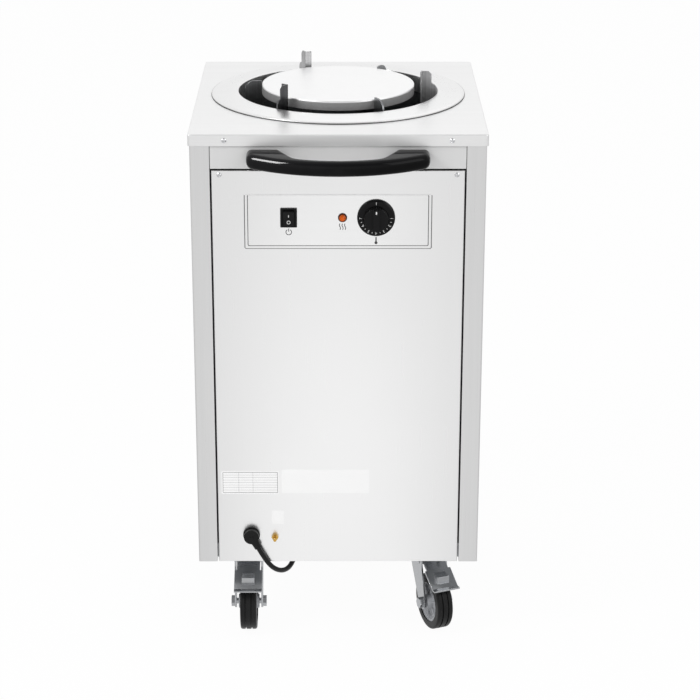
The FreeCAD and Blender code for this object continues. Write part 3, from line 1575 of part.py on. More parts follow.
def make_plug(start):
    """Make the plug on its side: a tapered neck, a round body and three flat blades."""
    spot = (Size(start.x, repr(start.x)), Size(start.y, repr(start.y)), S.plug_radius + S.coil_lift)
    end = S.plug_neck + S.plug_length
    plug = Piece("plug", spot)
    profile = [
        (ZERO, ZERO),
        (ZERO, S.plug_neck_radius),
        (S.plug_neck, S.plug_neck_radius + S.plug_round / 2),
        (S.plug_neck + S.plug_round * 2, S.plug_radius),
        (end, S.plug_radius),
        (end, ZERO),
    ]
    plug.turned("XZ", [profile], "H")
    plug.soften(S.plug_round / 2, lies_at("X", end))
    face_x = spot[0] + end
    blades = []
    places = ((-1, 1, 1), (1, 1, -1), (0, -1, 0))
    for side, rise, lean in places:
        y = spot[1] + S.blade_spread * side
        z = spot[2] + S.blade_drop * rise
        blade = Piece("plug_blade", (face_x, y, z), keep=False)
        blade.body.Placement = FreeCAD.Placement(
            blade.body.Placement.Base,
            FreeCAD.Rotation(Vector(1, 0, 0), S.blade_turn.value * lean),
        )
        blade.pad("YZ", [centred(ZERO, ZERO, S.blade_sheet, S.blade_width)], S.blade_length)
        blades.append(blade.body)
    group("plug_pins", blades)


def build():
    """Make every sub-part of the dispenser."""
    make_cover()
    make_side_panel("side_panel_left", -1)
    make_side_panel("side_panel_right", 1)
    make_rear_panel()
    make_rail()
    make_front_panel()
    make_base()
    make_handle()
    make_screws()
    make_ring()
    make_well()
    for number, label in enumerate(("plate_guide_rear", "plate_guide_left", "plate_guide_right")):
        make_guide(label, S.guide_angle + 120 * number)
    make_lift()
    make_springs()
    make_controls()
    make_heat()
    make_terminals()
    make_castor_plates()
    turns = {
        "front_left": ZERO,
        "front_right": S.castor_right_angle,
        "rear_left": S.castor_rear_left_angle,
        "rear_right": S.castor_rear_right_angle,
    }
    for name, spot in castor_spots().items():
        make_castor(name, spot, turns[name], name.startswith("front"))
    make_cord()


def check_and_write():
    """Stop at any broken object, then write one file for each node."""
    doc.recompute()
    for thing in doc.Objects:
        if "Invalid" in thing.State or "Error" in thing.State:
            raise ValueError("%s is %s" % (thing.Label, thing.State))
    os.makedirs("parts", exist_ok=True)
    for node in NODES:
        shape = node.Shape
        if shape.isNull() or not shape.isValid():
            raise ValueError("%s has no valid shape" % node.Label)
        shape.exportStep("parts/%s.step" % node.Label)
        print("%-24s solids %2d volume %10.0f" % (node.Label, len(shape.Solids), shape.Volume))
    print("nodes", len(NODES))


build()
check_and_write()
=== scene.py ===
"""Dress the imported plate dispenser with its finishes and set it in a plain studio."""
import logging
import math
from dataclasses import dataclass, replace
from enum import Enum
from typing import ClassVar, Optional, Sequence, Union

import bmesh
import bpy
from mathutils import Matrix, Vector


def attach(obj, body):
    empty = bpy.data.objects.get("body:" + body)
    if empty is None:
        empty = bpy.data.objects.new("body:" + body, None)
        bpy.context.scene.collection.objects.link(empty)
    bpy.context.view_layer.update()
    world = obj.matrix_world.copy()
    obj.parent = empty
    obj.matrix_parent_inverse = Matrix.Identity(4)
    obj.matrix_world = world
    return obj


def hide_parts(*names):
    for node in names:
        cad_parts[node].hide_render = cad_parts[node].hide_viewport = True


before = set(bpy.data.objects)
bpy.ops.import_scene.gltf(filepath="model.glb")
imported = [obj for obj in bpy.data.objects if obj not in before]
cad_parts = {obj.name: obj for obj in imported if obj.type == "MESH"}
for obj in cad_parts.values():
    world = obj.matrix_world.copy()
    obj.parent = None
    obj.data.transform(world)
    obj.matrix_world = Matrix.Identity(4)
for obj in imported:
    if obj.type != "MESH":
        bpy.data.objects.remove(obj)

LOG = logging.getLogger("plate_dispenser")
Colour = tuple[float, float, float]
Spot = tuple[float, float, float]
Pair = tuple[float, float]
Corner = tuple[float, ...]
Thing = bpy.types.Object
Socket = bpy.types.NodeSocket
Sockets = dict[str, Socket]
Source = Union[float, Sequence[float], Socket]
Feeds = dict[Union[str, int], Source]

# Shared places of the part, in metres, as the solids have them.
MM = 0.001
FACE_Y = -212.6 * MM
SKIN_Y = -214.7 * MM
TOP_Z = 882 * MM
WELL_Y = 56.9 * MM
CONTROL_Z = 747 * MM

SIDES = (-1, 1)
WHITE = (1.0, 1.0, 1.0)
# A relief that only just shows, and the ease of a sheet too thin to have one, in metres.
FAINT = 2e-7
THIN = 0.0001
# Faces round a large turned shape and a small one.
FINE_STEPS = 192
STEPS = 128
# The angles in degrees past which an edge stays sharp: on most pieces, on soft ones and on wheels.
SHARP = 35.0
SOFT = 40.0
CRISP = 30.0
# Corners nearer than this, in metres, are one.
SAME_SPOT = 1e-7


class Grain(Enum):
    """The way a sheet's brushing runs, as a stretch of its pattern along X, Y and Z."""

    ALONG_X = (0.004, 1.0, 1.0)
    ALONG_Z = (1.0, 1.0, 0.004)
    EVEN = (1.0, 1.0, 1.0)


class Facing(Enum):
    """The way a turned or pressed shape's axis points, as its turn about X in degrees."""

    UP = 0.0
    FRONT = 90.0

    def matrix(self) -> Matrix:
        """Return the turn that takes the Z axis to this way, keeping X where it is."""
        return Matrix.Rotation(math.radians(self.value), 4, "X")


class Graph:
    """A node tree that is being wired."""

    def __init__(self, tree: bpy.types.NodeTree) -> None:
        """Keep the tree to wire."""
        self.tree = tree

    def node(self, kind: str, feeds: Optional[Feeds] = None, **settings: object) -> bpy.types.Node:
        """Add a node.

        Args:
            kind: The node's type name.
            feeds: What its inputs take.
            settings: Attributes to set on it.

        Returns:
            The new node.
        """
        made = self.tree.nodes.new(kind)
        for name, value in settings.items():
            setattr(made, name, value)
        self.feed(made, feeds or {})
        return made

    def feed(self, node: bpy.types.Node, feeds: Feeds) -> None:
        """Link a node's inputs to other sockets, or set their own values.

        Args:
            node: The node.
            feeds: An output socket, a number, or a colour or vector, by the input's name or number.
        """
        for place, source in feeds.items():
            socket = node.inputs[place]
            if isinstance(source, Socket):
                self.tree.links.new(source, socket)
            elif isinstance(source, (int, float)):
                socket.default_value = source
            else:
                values = tuple(source)
                wide = socket.type == "RGBA" and len(values) == 3
                socket.default_value = values + (1.0,) if wide else values

    def calc(self, kind: str, first: Source, second: Source = 0.0) -> Socket:
        """Return a Math node's result.

        Args:
            kind: The operation.
            first: Its first input.
            second: Its second input.

        Returns:
            The node's output.
        """
        return self.node("ShaderNodeMath", {0: first, 1: second}, operation=kind).outputs[0]

    def times(self, first: Source, second: Source) -> Socket:
        """Return the product of two values."""
        return self.calc("MULTIPLY", first, second)

    def span(self, value: Source, low: Pair, high: Pair) -> Socket:
        """Map a value from one range to another, held at the ends.

        Args:
            value: The value.
            low: The range's start before and after.
            high: The range's end before and after.

        Returns:
            The mapped value.
        """
        feeds = dict(enumerate((value, low[0], high[0], low[1], high[1])))
        return self.node("ShaderNodeMapRange", feeds).outputs[0]

    def blend(self, share: Source, first: Source, second: Source, how: str = "MIX") -> Socket:
        """Mix two colours, which have the seventh and eighth inputs and the third output of a Mix node.

        Args:
            share: The second colour's share.
            first: The first colour.
            second: The second colour.
            how: The blend mode.

        Returns:
            The mixed colour.
        """
        feeds = {0: share, 6: first, 7: second}
        return self.node("ShaderNodeMix", feeds, data_type="RGBA", blend_type=how).outputs[2]

    def noise(self, vector: Source, scale: Source, detail: float = 3.0, rough: float = 0.55) -> Socket:
        """Return a noise value over the surface.

        Args:
            vector: Where it is read.
            scale: How fine it is.
            detail: Its octaves.
            rough: How strong the finer octaves are.

        Returns:
            A value about one half.
        """
        feeds = {"Vector": vector, "Scale": scale, "Detail": detail, "Roughness": rough}
        return self.node("ShaderNodeTexNoise", feeds).outputs[0]

    def place(self, stretch: Spot = (1, 1, 1), shift: Spot = (0, 0, 0)) -> Socket:
        """Return Object coordinates after a stretch and a shift.

        Args:
            stretch: The scale along X, Y and Z.
            shift: The move, in metres.

        Returns:
            The mapped vector.
        """
        coords = self.node("ShaderNodeTexCoord").outputs["Object"]
        feeds = {"Vector": coords, "Location": shift, "Scale": stretch}
        return self.node("ShaderNodeMapping", feeds).outputs[0]


class SharedEffect:
    """A shader node group that several finishes use, built once."""

    name: ClassVar[str] = "effect"
    inputs: ClassVar[tuple[str, ...]] = ()
    outputs: ClassVar[tuple[str, ...]] = ()
    vectors: ClassVar[tuple[str, ...]] = ("Vector", "Normal")
    made: ClassVar[dict[str, bpy.types.NodeTree]] = {}

    def wire(self, graph: Graph, given: Sockets) -> Sockets:
        """Wire the inside of the group, from its inputs to its outputs."""
        raise NotImplementedError

    def tree(self) -> bpy.types.NodeTree:
        """Build the group at its first use.

        Returns:
            The group.
        """
        if self.name in SharedEffect.made:
            return SharedEffect.made[self.name]
        tree = bpy.data.node_groups.new(self.name, "ShaderNodeTree")
        for way, names in (("INPUT", self.inputs), ("OUTPUT", self.outputs)):
            for name in names:
                kind = "NodeSocketVector" if name in self.vectors else "NodeSocketFloat"
                tree.interface.new_socket(name, in_out=way, socket_type=kind)
        graph = Graph(tree)
        entry = graph.node("NodeGroupInput")
        results = self.wire(graph, {name: entry.outputs[name] for name in self.inputs})
        graph.node("NodeGroupOutput", results)
        SharedEffect.made[self.name] = tree
        return tree

    def use(self, graph: Graph, **values: Source) -> Sockets:
        """Place the group in a material.

        Args:
            graph: The material's tree.
            values: The group's inputs by name.

        Returns:
            The group's outputs by name.
        """
        made = graph.node("ShaderNodeGroup", values, node_tree=self.tree())
        return {name: made.outputs[name] for name in self.outputs}


class Brushing(SharedEffect):
    """Fine parallel scratches in broad and narrow bands."""

    name = "brushing"
    inputs = ("Vector", "Fineness")
    outputs = ("Streak", "Height")

    def wire(self, graph: Graph, given: Sockets) -> Sockets:
        """Mix a fine and a broad streak into one mask and one height.

        Args:
            graph: The group's tree.
            given: The group's inputs by name.

        Returns:
            The group's outputs by name.
        """
        coarse = graph.times(given["Fineness"], 0.09)
        fine = graph.noise(given["Vector"], given["Fineness"], detail=2.0, rough=0.6)
        broad = graph.noise(given["Vector"], coarse, detail=2.0, rough=0.5)
        both = graph.calc("ADD", graph.times(fine, 0.6), graph.times(broad, 0.4))
        return {"Streak": graph.span(both, (0.32, 0.0), (0.68, 1.0)), "Height": fine}


class HandMarks(SharedEffect):
    """Soft patches left by hands and cloths on a smooth surface."""

    name = "hand_marks"
    inputs = ("Vector", "Size", "Amount")
    outputs = ("Mask",)

    def wire(self, graph: Graph, given: Sockets) -> Sockets:
        """Break up broad patches with a finer noise.

        Args:
            graph: The group's tree.
            given: The group's inputs by name.

        Returns:
            The group's outputs by name.
        """
        finer = graph.times(given["Size"], 11.0)
        patch = graph.noise(given["Vector"], given["Size"], detail=4.0, rough=0.6)
        rub = graph.noise(given["Vector"], finer, detail=3.0, rough=0.6)
        patches = graph.span(patch, (0.48, 0.0), (0.72, 1.0))
        rubbed_and_highlit = graph.times(patches, graph.span(rub, (0.3, 0.4), (0.7, 1.0)))
        return {"Mask": graph.times(rubbed_and_highlit, given["Amount"])}


class MouldGrain(SharedEffect):
    """The fine pebbled skin of a moulding, with a slow change of tone."""

    name = "mould_grain"
    inputs = ("Vector", "Fineness")
    outputs = ("Height", "Tone")

    def wire(self, graph: Graph, given: Sockets) -> Sockets:
        """Take the pebbles from cells and the tone from a broad noise.

        Args:
            graph: The group's tree.
            given: The group's inputs by name.

        Returns:
            The group's outputs by name.
        """
        feeds = {"Vector": given["Vector"], "Scale": given["Fineness"]}
        cells = graph.node("ShaderNodeTexVoronoi", feeds, feature="SMOOTH_F1")
        coarse = graph.times(given["Fineness"], 0.02)
        tone = graph.noise(given["Vector"], coarse, detail=3.0, rough=0.5)
        return {"Height": cells.outputs["Distance"], "Tone": graph.span(tone, (0.3, 0.0), (0.7, 1.0))}


class EasedEdge(SharedEffect):
    """Edges that catch the light: a softened normal and a mask of the edges, which the finishes paint
    lighter.
    """

    name = "eased_edge"
    inputs = ("Radius",)
    outputs = ("Normal", "Edge")

    def wire(self, graph: Graph, given: Sockets) -> Sockets:
        """Compare the softened normal with the face's own.

        Args:
            graph: The group's tree.
            given: The group's inputs by name.

        Returns:
            The group's outputs by name.
        """
        soft = graph.node("ShaderNodeBevel", {"Radius": given["Radius"]}, samples=4).outputs[0]
        face = graph.node("ShaderNodeNewGeometry").outputs["Normal"]
        meet = graph.node("ShaderNodeVectorMath", {0: soft, 1: face}, operation="DOT_PRODUCT")
        edge = graph.span(meet.outputs["Value"], (0.995, 0.0), (0.85, 1.0))
        return {"Normal": soft, "Edge": edge}


BRUSHING = Brushing()
HAND_MARKS = HandMarks()
MOULD_GRAIN = MouldGrain()
EASED_EDGE = EasedEdge()


@dataclass(frozen=True)
class Finish:
    """A surface finish that makes one material."""

    name: str
    colour: Colour
    roughness: float
    made: ClassVar[dict[str, bpy.types.Material]] = {}
    strength: ClassVar[float] = 0.6

    def wire(self, graph: Graph, shader: bpy.types.Node) -> None:
        """Wire the finish's detail into the shader."""
        raise NotImplementedError

    def material(self) -> bpy.types.Material:
        """Build the material at its first use.

        Returns:
            The material.
        """
        if self.name in Finish.made:
            return Finish.made[self.name]
        made = bpy.data.materials.new(self.name)
        made.use_nodes = True
        made.diffuse_color = (*self.colour, 1.0)
        self.wire(Graph(made.node_tree), made.node_tree.nodes["Principled BSDF"])
        Finish.made[self.name] = made
        return made

    def tones(self, graph: Graph, mask: Source, dark: float, light: float) -> Socket:
        """Return the colour between a darker and a lighter tone of itself.

        Args:
            graph: The material's tree.
            mask: Where it is lighter.
            dark: The darker tone's share of the colour.
            light: The lighter tone's share.

        Returns:
            The mixed colour.
        """
        low = [part * dark for part in self.colour]
        high = [min(part * light, 1.0) for part in self.colour]
        return graph.blend(mask, low, high)

    def relief(
        self, graph: Graph, shader: bpy.types.Node, height: Source, depth: float,
        normal: Optional[Source] = None,
    ) -> None:
        """Feed a bump into the shader's normal.

        Args:
            graph: The material's tree.
            shader: The shader.
            height: The height mask.
            depth: The relief's depth in metres.
            normal: A normal to start from.
        """
        feeds = {"Strength": self.strength, "Distance": depth, "Height": height}
        if normal is not None:
            feeds["Normal"] = normal
        graph.feed(shader, {"Normal": graph.node("ShaderNodeBump", feeds).outputs[0]})


@dataclass(frozen=True)
class SheetSteel(Finish):
    """Brushed stainless sheet with faint hand marks and eased edges."""

    grain: Grain = Grain.ALONG_Z
    fineness: float = 900
    streak: float = 0.05
    marks: float = 0.5
    ease: float = 0.0009
    depth: float = 0.000002
    sway: float = 0.03
    metal: float = 1.0
    mark_size: ClassVar[float] = 5.0
    mark_tone: ClassVar[float] = 0.8
    mark_share: ClassVar[float] = 0.12
    mark_rough: ClassVar[float] = 0.08

    def wire(self, graph: Graph, shader: bpy.types.Node) -> None:
        """Brush the sheet, then smear it a little.

        Args:
            graph: The material's tree.
            shader: Its shader.
        """
        brush = BRUSHING.use(graph, Vector=graph.place(self.grain.value), Fineness=self.fineness)
        mask = HAND_MARKS.use(graph, Vector=graph.place(), Size=self.mark_size, Amount=self.marks)["Mask"]
        streak = brush["Streak"]
        colour = self.tones(graph, streak, 1 - self.streak, 1 + self.streak)
        smear = [part * self.mark_tone for part in self.colour]
        rough = graph.span(streak, (0.0, self.roughness - self.sway), (1.0, self.roughness + self.sway))
        graph.feed(shader, {
            "Base Color": graph.blend(graph.times(mask, self.mark_share), colour, smear),
            "Roughness": graph.calc("ADD", rough, graph.times(mask, self.mark_rough)),
            "Metallic": self.metal,
        })
        edge = EASED_EDGE.use(graph, Radius=self.ease)
        self.relief(graph, shader, brush["Height"], self.depth, edge["Normal"])


@dataclass(frozen=True)
class Plating(Finish):
    """Bright plated steel with a cloudy bloom, and a painted highlight that lightens its edges."""

    cloud: float = 90
    tint: Colour = (0.62, 0.66, 0.72)
    tint_share: ClassVar[float] = 0.3
    # How much lighter the edges are painted: a painted highlight.
    rubbed_and_highlit: ClassVar[float] = 1.9
    dulled: ClassVar[float] = 0.08
    ease: ClassVar[float] = 0.0007
    waves: ClassVar[float] = 350.0
    depth: ClassVar[float] = 0.000012

    def wire(self, graph: Graph, shader: bpy.types.Node) -> None:
        """Cloud the plating, and paint a highlight on its edges.

        Args:
            graph: The material's tree.
            shader: Its shader.
        """
        flat = graph.place()
        cloud = graph.span(graph.noise(flat, self.cloud, detail=5.0, rough=0.65), (0.35, 0.0), (0.7, 1.0))
        edge = EASED_EDGE.use(graph, Radius=self.ease)
        bloom = graph.blend(graph.times(cloud, self.tint_share), self.colour, self.tint)
        bright = [min(part * self.rubbed_and_highlit, 1.0) for part in self.colour]
        graph.feed(shader, {
            "Base Color": graph.blend(edge["Edge"], bloom, bright),
            "Roughness": graph.span(cloud, (0.0, self.roughness), (1.0, self.roughness + self.dulled)),
            "Metallic": 1.0,
        })
        self.relief(graph, shader, graph.noise(flat, self.waves), self.depth, edge["Normal"])


@dataclass(frozen=True)
class Moulding(Finish):
    """A moulded plastic or rubber skin."""

    fineness: float = 2200
    depth: float = 0.00003
    shine: float = 0.2
    marks: float = 0.5
    mark_size: ClassVar[float] = 22.0
    mark_rough: ClassVar[float] = 0.14
    ease: ClassVar[float] = 0.0005
    edge_share: ClassVar[float] = 0.35
    edge_tone: ClassVar[float] = 0.8
    edge_lift: ClassVar[float] = 0.012

    def wire(self, graph: Graph, shader: bpy.types.Node) -> None:
        """Pebble the skin, and let it shine unevenly.

        Args:
            graph: The material's tree.
            shader: Its shader.
        """
        flat = graph.place()
        grain = MOULD_GRAIN.use(graph, Vector=flat, Fineness=self.fineness)
        mask = HAND_MARKS.use(graph, Vector=flat, Size=self.mark_size, Amount=self.marks)["Mask"]
        edge = EASED_EDGE.use(graph, Radius=self.ease)
        colour = self.tones(graph, grain["Tone"], 0.85, 1.2)
        pale = [part * self.edge_tone + self.edge_lift for part in self.colour]
        graph.feed(shader, {
            "Base Color": graph.blend(graph.times(edge["Edge"], self.edge_share), colour, pale),
            "Roughness": graph.calc("ADD", self.roughness, graph.times(mask, self.mark_rough)),
            "Specular IOR Level": self.shine,
        })
        self.relief(graph, shader, grain["Height"], self.depth, edge["Normal"])


@dataclass(frozen=True)
class DustyRubber(Finish):
    """Tyre rubber with pale dust in its low places."""

    dust: Colour = (0.035, 0.034, 0.033)
    fineness: ClassVar[float] = 1500.0
    dust_size: ClassVar[float] = 45.0
    dust_amount: ClassVar[float] = 0.3
    dust_rough: ClassVar[float] = 0.85
    shine: ClassVar[float] = 0.25
    depth: ClassVar[float] = 0.00008

    def wire(self, graph: Graph, shader: bpy.types.Node) -> None:
        """Scuff the rubber and dust it.

        Args:
            graph: The material's tree.
            shader: Its shader.
        """
        flat = graph.place()
        grain = MOULD_GRAIN.use(graph, Vector=flat, Fineness=self.fineness)
        mask = HAND_MARKS.use(graph, Vector=flat, Size=self.dust_size, Amount=self.dust_amount)["Mask"]
        graph.feed(shader, {
            "Base Color": graph.blend(mask, self.tones(graph, grain["Tone"], 0.8, 1.25), self.dust),
            "Roughness": graph.span(mask, (0.0, self.roughness), (0.5, self.dust_rough)),
            "Specular IOR Level": self.shine,
        })
        self.relief(graph, shader, grain["Height"], self.depth)


@dataclass(frozen=True)
class ClearLens(Finish):
    """A tinted clear lens, with a painted glow that is brightest at its middle."""

    # How strong the painted glow is.
    glow: float = 0.5
    middle: Spot = (0.0, 0.0, 0.0)
    half: float = 5.5 * MM
    bright_share: ClassVar[float] = 0.2
    swirls: ClassVar[float] = 500.0

    def wire(self, graph: Graph, shader: bpy.types.Node) -> None:
        """Tint the lens, and paint a glow on it, brightest at its middle and deeper towards its rim.

        Args:
            graph: The material's tree.
            shader: Its shader.
        """
        swirl = graph.noise(graph.place(), self.swirls, detail=2.0, rough=0.5)
        across = graph.place((1, 0, 1), (-self.middle[0], 0, -self.middle[2]))
        out = graph.node("ShaderNodeVectorMath", {0: across}, operation="LENGTH").outputs["Value"]
        near = graph.span(out, (self.half, 0.0), (self.half * self.bright_share, 1.0))
        graph.feed(shader, {
            "Base Color": self.tones(graph, swirl, 0.8, 1.15),
            "Roughness": self.roughness,
            "Transmission Weight": 0.2,
            "IOR": 1.49,
            "Specular IOR Level": 0.15,
            "Emission Color": self.tones(graph, near, 0.25, 1.25),
            "Emission Strength": self.glow,
        })


@dataclass(frozen=True)
class Ink(Finish):
    """Printed ink or a paper label, with a little unevenness."""

    mottle: float = 0.06
    specks: ClassVar[float] = 1600.0
    sway: ClassVar[float] = 0.05

    def wire(self, graph: Graph, shader: bpy.types.Node) -> None:
        """Mottle the print.

        Args:
            graph: The material's tree.
            shader: Its shader.
        """
        speck = graph.noise(graph.place(), self.specks, detail=3.0, rough=0.6)
        smooth, rough = self.roughness - self.sway, self.roughness + self.sway
        graph.feed(shader, {
            "Base Color": self.tones(graph, speck, 1 - self.mottle, 1 + self.mottle),
            "Roughness": graph.span(speck, (0.3, smooth), (0.7, rough)),
        })


def grey(tone: float) -> Colour:
    """Return a neutral grey."""
    return (tone, tone, tone)


class Finishes:
    """The finishes of this part, by what they are on."""

    PANEL = SheetSteel("front_sheet", grey(0.96), 0.28, streak=0.004, marks=0.2, depth=FAINT, sway=0.008)
    PLATE = replace(PANEL, name="plate_sheet", ease=THIN)
    SIDE = SheetSteel("side_sheet", grey(0.83), 0.3, streak=0.02)
    RAIL = SheetSteel("rail_sheet", grey(0.74), 0.5, streak=0.01, depth=5e-7, metal=0.3)
    COVER = SheetSteel("cover_sheet", grey(0.91), 0.35, Grain.ALONG_X, streak=0.02, marks=0.8, metal=0.75)
    RING = SheetSteel("ring_steel", grey(0.9), 0.29, Grain.EVEN, 300, streak=0.015, depth=FAINT)
    # A darker copy of the ring's steel, painted shade on the rim's side wall.
    EDGE = SheetSteel("rim_shade_steel", grey(0.5), 0.45, Grain.EVEN, 300, ease=THIN, depth=FAINT)
    PLATFORM = SheetSteel("platform_steel", grey(0.97), 0.4, Grain.EVEN, 500, streak=0.012, depth=FAINT)
    # A darker copy of the platform's steel for its skirt: painted shade, where the skirt stands in the well.
    SHADED_SKIRT = SheetSteel(
        "shaded_skirt_steel", grey(0.43), 0.4, Grain.ALONG_X, streak=0.12, ease=0.0006, depth=0.00002, metal=0.5,
    )
    GUIDE = SheetSteel("guide_steel", (0.26, 0.264, 0.272), 0.3, streak=0.3, marks=1.0, ease=0.0006)
    # Lighter and darker copies of the guide steel, for guides that stand in light and in shade: painted light
    # and shade.
    LIT_GUIDE = replace(
        GUIDE, name="lit_guide_steel", colour=(0.46, 0.46, 0.465), roughness=0.34, streak=0.25,
    )
    SHADED_GUIDE = replace(GUIDE, name="shaded_guide_steel", colour=(0.1, 0.1, 0.104))
    WELL = SheetSteel("well_steel", (0.3, 0.31, 0.32), 0.42, streak=0.1)
    INSIDE = SheetSteel("mill_steel", (0.5, 0.51, 0.52), 0.45, streak=0.08)
    OVERLAY = SheetSteel("control_sheet", grey(0.95), 0.22, Grain.ALONG_X, streak=0.008, marks=0.3, ease=THIN)
    # The plated finishes paint a highlight on their edges.
    ZINC = Plating("zinc_plate", (0.45, 0.457, 0.468), 0.16, tint=(0.44, 0.46, 0.49))
    SCREW = Plating("screw_plate", (0.8, 0.8, 0.81), 0.22, cloud=300)
    BRASS = Plating("brass", (0.66, 0.4, 0.1), 0.16, cloud=400, tint=(0.5, 0.29, 0.06))
    HANDLE = Moulding("handle_gloss", (0.002, 0.002, 0.0022), 0.09, depth=0.000002, shine=0.1, marks=0.2)
    BLACK = Moulding("black_moulding", (0.006, 0.006, 0.0065), 0.3, shine=0.16)
    KNOB = Moulding("knob_moulding", (0.005, 0.005, 0.0055), 0.3, fineness=3000, shine=0.16)
    GLAND = Moulding("gland_rubber", (0.004, 0.004, 0.0043), 0.3, fineness=2600, shine=0.22)
    SHEATH = Moulding("cord_sheath", (0.004, 0.004, 0.0043), 0.28, fineness=3000, shine=0.26)
    TIE = Moulding("tie_band", (0.012, 0.012, 0.0125), 0.6, fineness=2600, shine=0.2)
    # Near-black paint for the strips that stand in for the shadow in the cabinet's joints: painted shadow.
    SHADOW_STRIP = Moulding("painted_shadow_strip", grey(0.006), 0.5, fineness=2600, shine=0.1)
    HUB = Moulding("hub_moulding", (0.42, 0.43, 0.45), 0.4, shine=0.5)
    CREAM = Moulding("terminal_moulding", (0.8, 0.78, 0.7), 0.4, shine=0.5)
    TYRE = DustyRubber("tyre_rubber", (0.005, 0.005, 0.0053), 0.38)
    BEZEL = Moulding("bezel_amber", (0.05, 0.01, 0.003), 0.25, shine=0.2)
    # The lamp's lens, with a painted glow.
    AMBER = ClearLens("amber_lens", (0.5, 0.08, 0.003), 0.06, middle=(7 * MM, 0.0, CONTROL_Z))
    WHITE_INK = Ink("white_ink", (0.86, 0.86, 0.85), 0.5)
    GREY_INK = Ink("grey_ink", (0.06, 0.06, 0.063), 0.5)
    # A dark ink for the painted shadow lines round the control plate.
    DARK_LINE = Ink("dark_line", (0.03, 0.03, 0.033), 0.6)
    LABEL = Ink("blank_label", grey(0.99), 0.4, mottle=0.005)


class Piece:
    """A mesh that is being shaped, and the object it becomes."""

    def __init__(self, name: str, finish: Finish) -> None:
        """Start an empty shape.

        Args:
            name: The piece's name.
            finish: What it is made of.
        """
        self.name = name
        self.finish = finish
        self.work = bmesh.new()

    def turned(
        self, profile: Sequence[Pair], place: Matrix, steps: int = STEPS, loop: bool = False,
    ) -> "Piece":
        """Turn an outline about an axis.

        Args:
            profile: Radius and height of each corner, in order along the outline.
            place: Where the axis starts and the way it points, as its Z.
            steps: Faces round the axis.
            loop: Whether the outline's last corner joins its first.

        Returns:
            This piece.
        """
        rows = []
        for radius, height in profile:
            if radius <= 0:
                rows.append([self.work.verts.new(place @ Vector((0, 0, height)))])
                continue
            turns = [math.tau * step / steps for step in range(steps)]
            points = [Vector((radius * math.cos(t), radius * math.sin(t), height)) for t in turns]
            rows.append([self.work.verts.new(place @ point) for point in points])
        for below, above in zip(rows, rows[1:] + rows[:1] if loop else rows[1:]):
            self.stitch(below, above, steps)
        return self

    def stitch(self, below: list[bmesh.types.BMVert], above: list[bmesh.types.BMVert], steps: int) -> None:
        """Join two rows of a turned shape, either of which may be one point.

        Args:
            below: The lower row.
            above: The upper row.
            steps: Faces round the axis.
        """
        if len(below) == 1 and len(above) == 1:
            return
        for step in range(steps):
            after = (step + 1) % steps
            if len(below) == 1:
                corners = (below[0], above[after], above[step])
            elif len(above) == 1:
                corners = (below[step], below[after], above[0])
            else:
                corners = (below[step], below[after], above[after], above[step])
            self.work.faces.new(corners)

    def slab(self, outline: Sequence[Pair], depth: Pair, place: Matrix) -> "Piece":
        """Stand a flat outline up into a slab.

        Args:
            outline: Corners in the flat, anticlockwise.
            depth: Lower and upper level.
            place: Where the flat lies.

        Returns:
            This piece.
        """
        low, high = (
            [self.work.verts.new(place @ Vector((x, y, level))) for x, y in outline] for level in depth
        )
        self.work.faces.new(high)
        self.work.faces.new(low[::-1])
        self.stitch(low, high, len(outline))
        return self

    def stroke(self, line: Sequence[Pair], width: float, depth: Pair, place: Matrix) -> "Piece":
        """Draw a line of even width as a thin slab.

        Args:
            line: The points that its middle follows.
            width: The line's width.
            depth: Lower and upper level.
            place: Where the flat lies.

        Returns:
            This piece.
        """
        spots = [Vector(point) for point in line]
        left, right = [], []
        for number, spot in enumerate(spots):
            way = spots[min(number + 1, len(spots) - 1)] - spots[max(number - 1, 0)]
            side = Vector((-way.y, way.x)).normalized() * width / 2
            left.append(tuple(spot + side))
            right.append(tuple(spot - side))
        return self.slab(right + left[::-1], depth, place)

    def finished(self, smooth: float = SHARP) -> Thing:
        """Return the object, with clean normals and its finish.

        Args:
            smooth: The angle in degrees past which an edge stays sharp.

        Returns:
            The linked object.
        """
        bmesh.ops.remove_doubles(self.work, verts=self.work.verts, dist=SAME_SPOT)
        bmesh.ops.recalc_face_normals(self.work, faces=self.work.faces)
        mesh = bpy.data.meshes.new(self.name)
        self.work.to_mesh(mesh)
        self.work.free()
        return linked(self.name, mesh, self.finish, smooth)


def placed(name: str, data: bpy.types.ID) -> Thing:
    """Put data in the scene as an object.

    Args:
        name: The object's name.
        data: What it holds.

    Returns:
        The object.
    """
    made = bpy.data.objects.new(name, data)
    bpy.context.scene.collection.objects.link(made)
    return made


def evaluated(holder: Thing) -> bpy.types.Mesh:
    """Return an object's shape, with what its modifiers do, as a plain mesh."""
    graph = bpy.context.evaluated_depsgraph_get()
    return bpy.data.meshes.new_from_object(holder.evaluated_get(graph))


def linked(name: str, mesh: bpy.types.Mesh, finish: Finish, smooth: float = SHARP) -> Thing:
    """Put a mesh in the scene as an object.

    Args:
        name: The object's name.
        mesh: Its mesh.
        finish: Its finish.
        smooth: The angle in degrees past which an edge stays sharp.

    Returns:
        The object.
    """
    mesh.materials.clear()
    mesh.materials.append(finish.material())
    mesh.shade_smooth()
    mesh.set_sharp_from_angle(angle=math.radians(smooth))
    return placed(name, mesh)


def merged(name: str, finish: Finish, pieces: Sequence[Thing]) -> Thing:
    """Join pieces of one finish into one.

    Args:
        name: The joined piece's name.
        finish: Its finish.
        pieces: What is joined.

    Returns:
        The one object.
    """
    work = bmesh.new()
    for piece in pieces:
        work.from_mesh(piece.data)
        bpy.data.objects.remove(piece)
    mesh = bpy.data.meshes.new(name)
    work.to_mesh(mesh)
    work.free()
    return linked(name, mesh, finish)


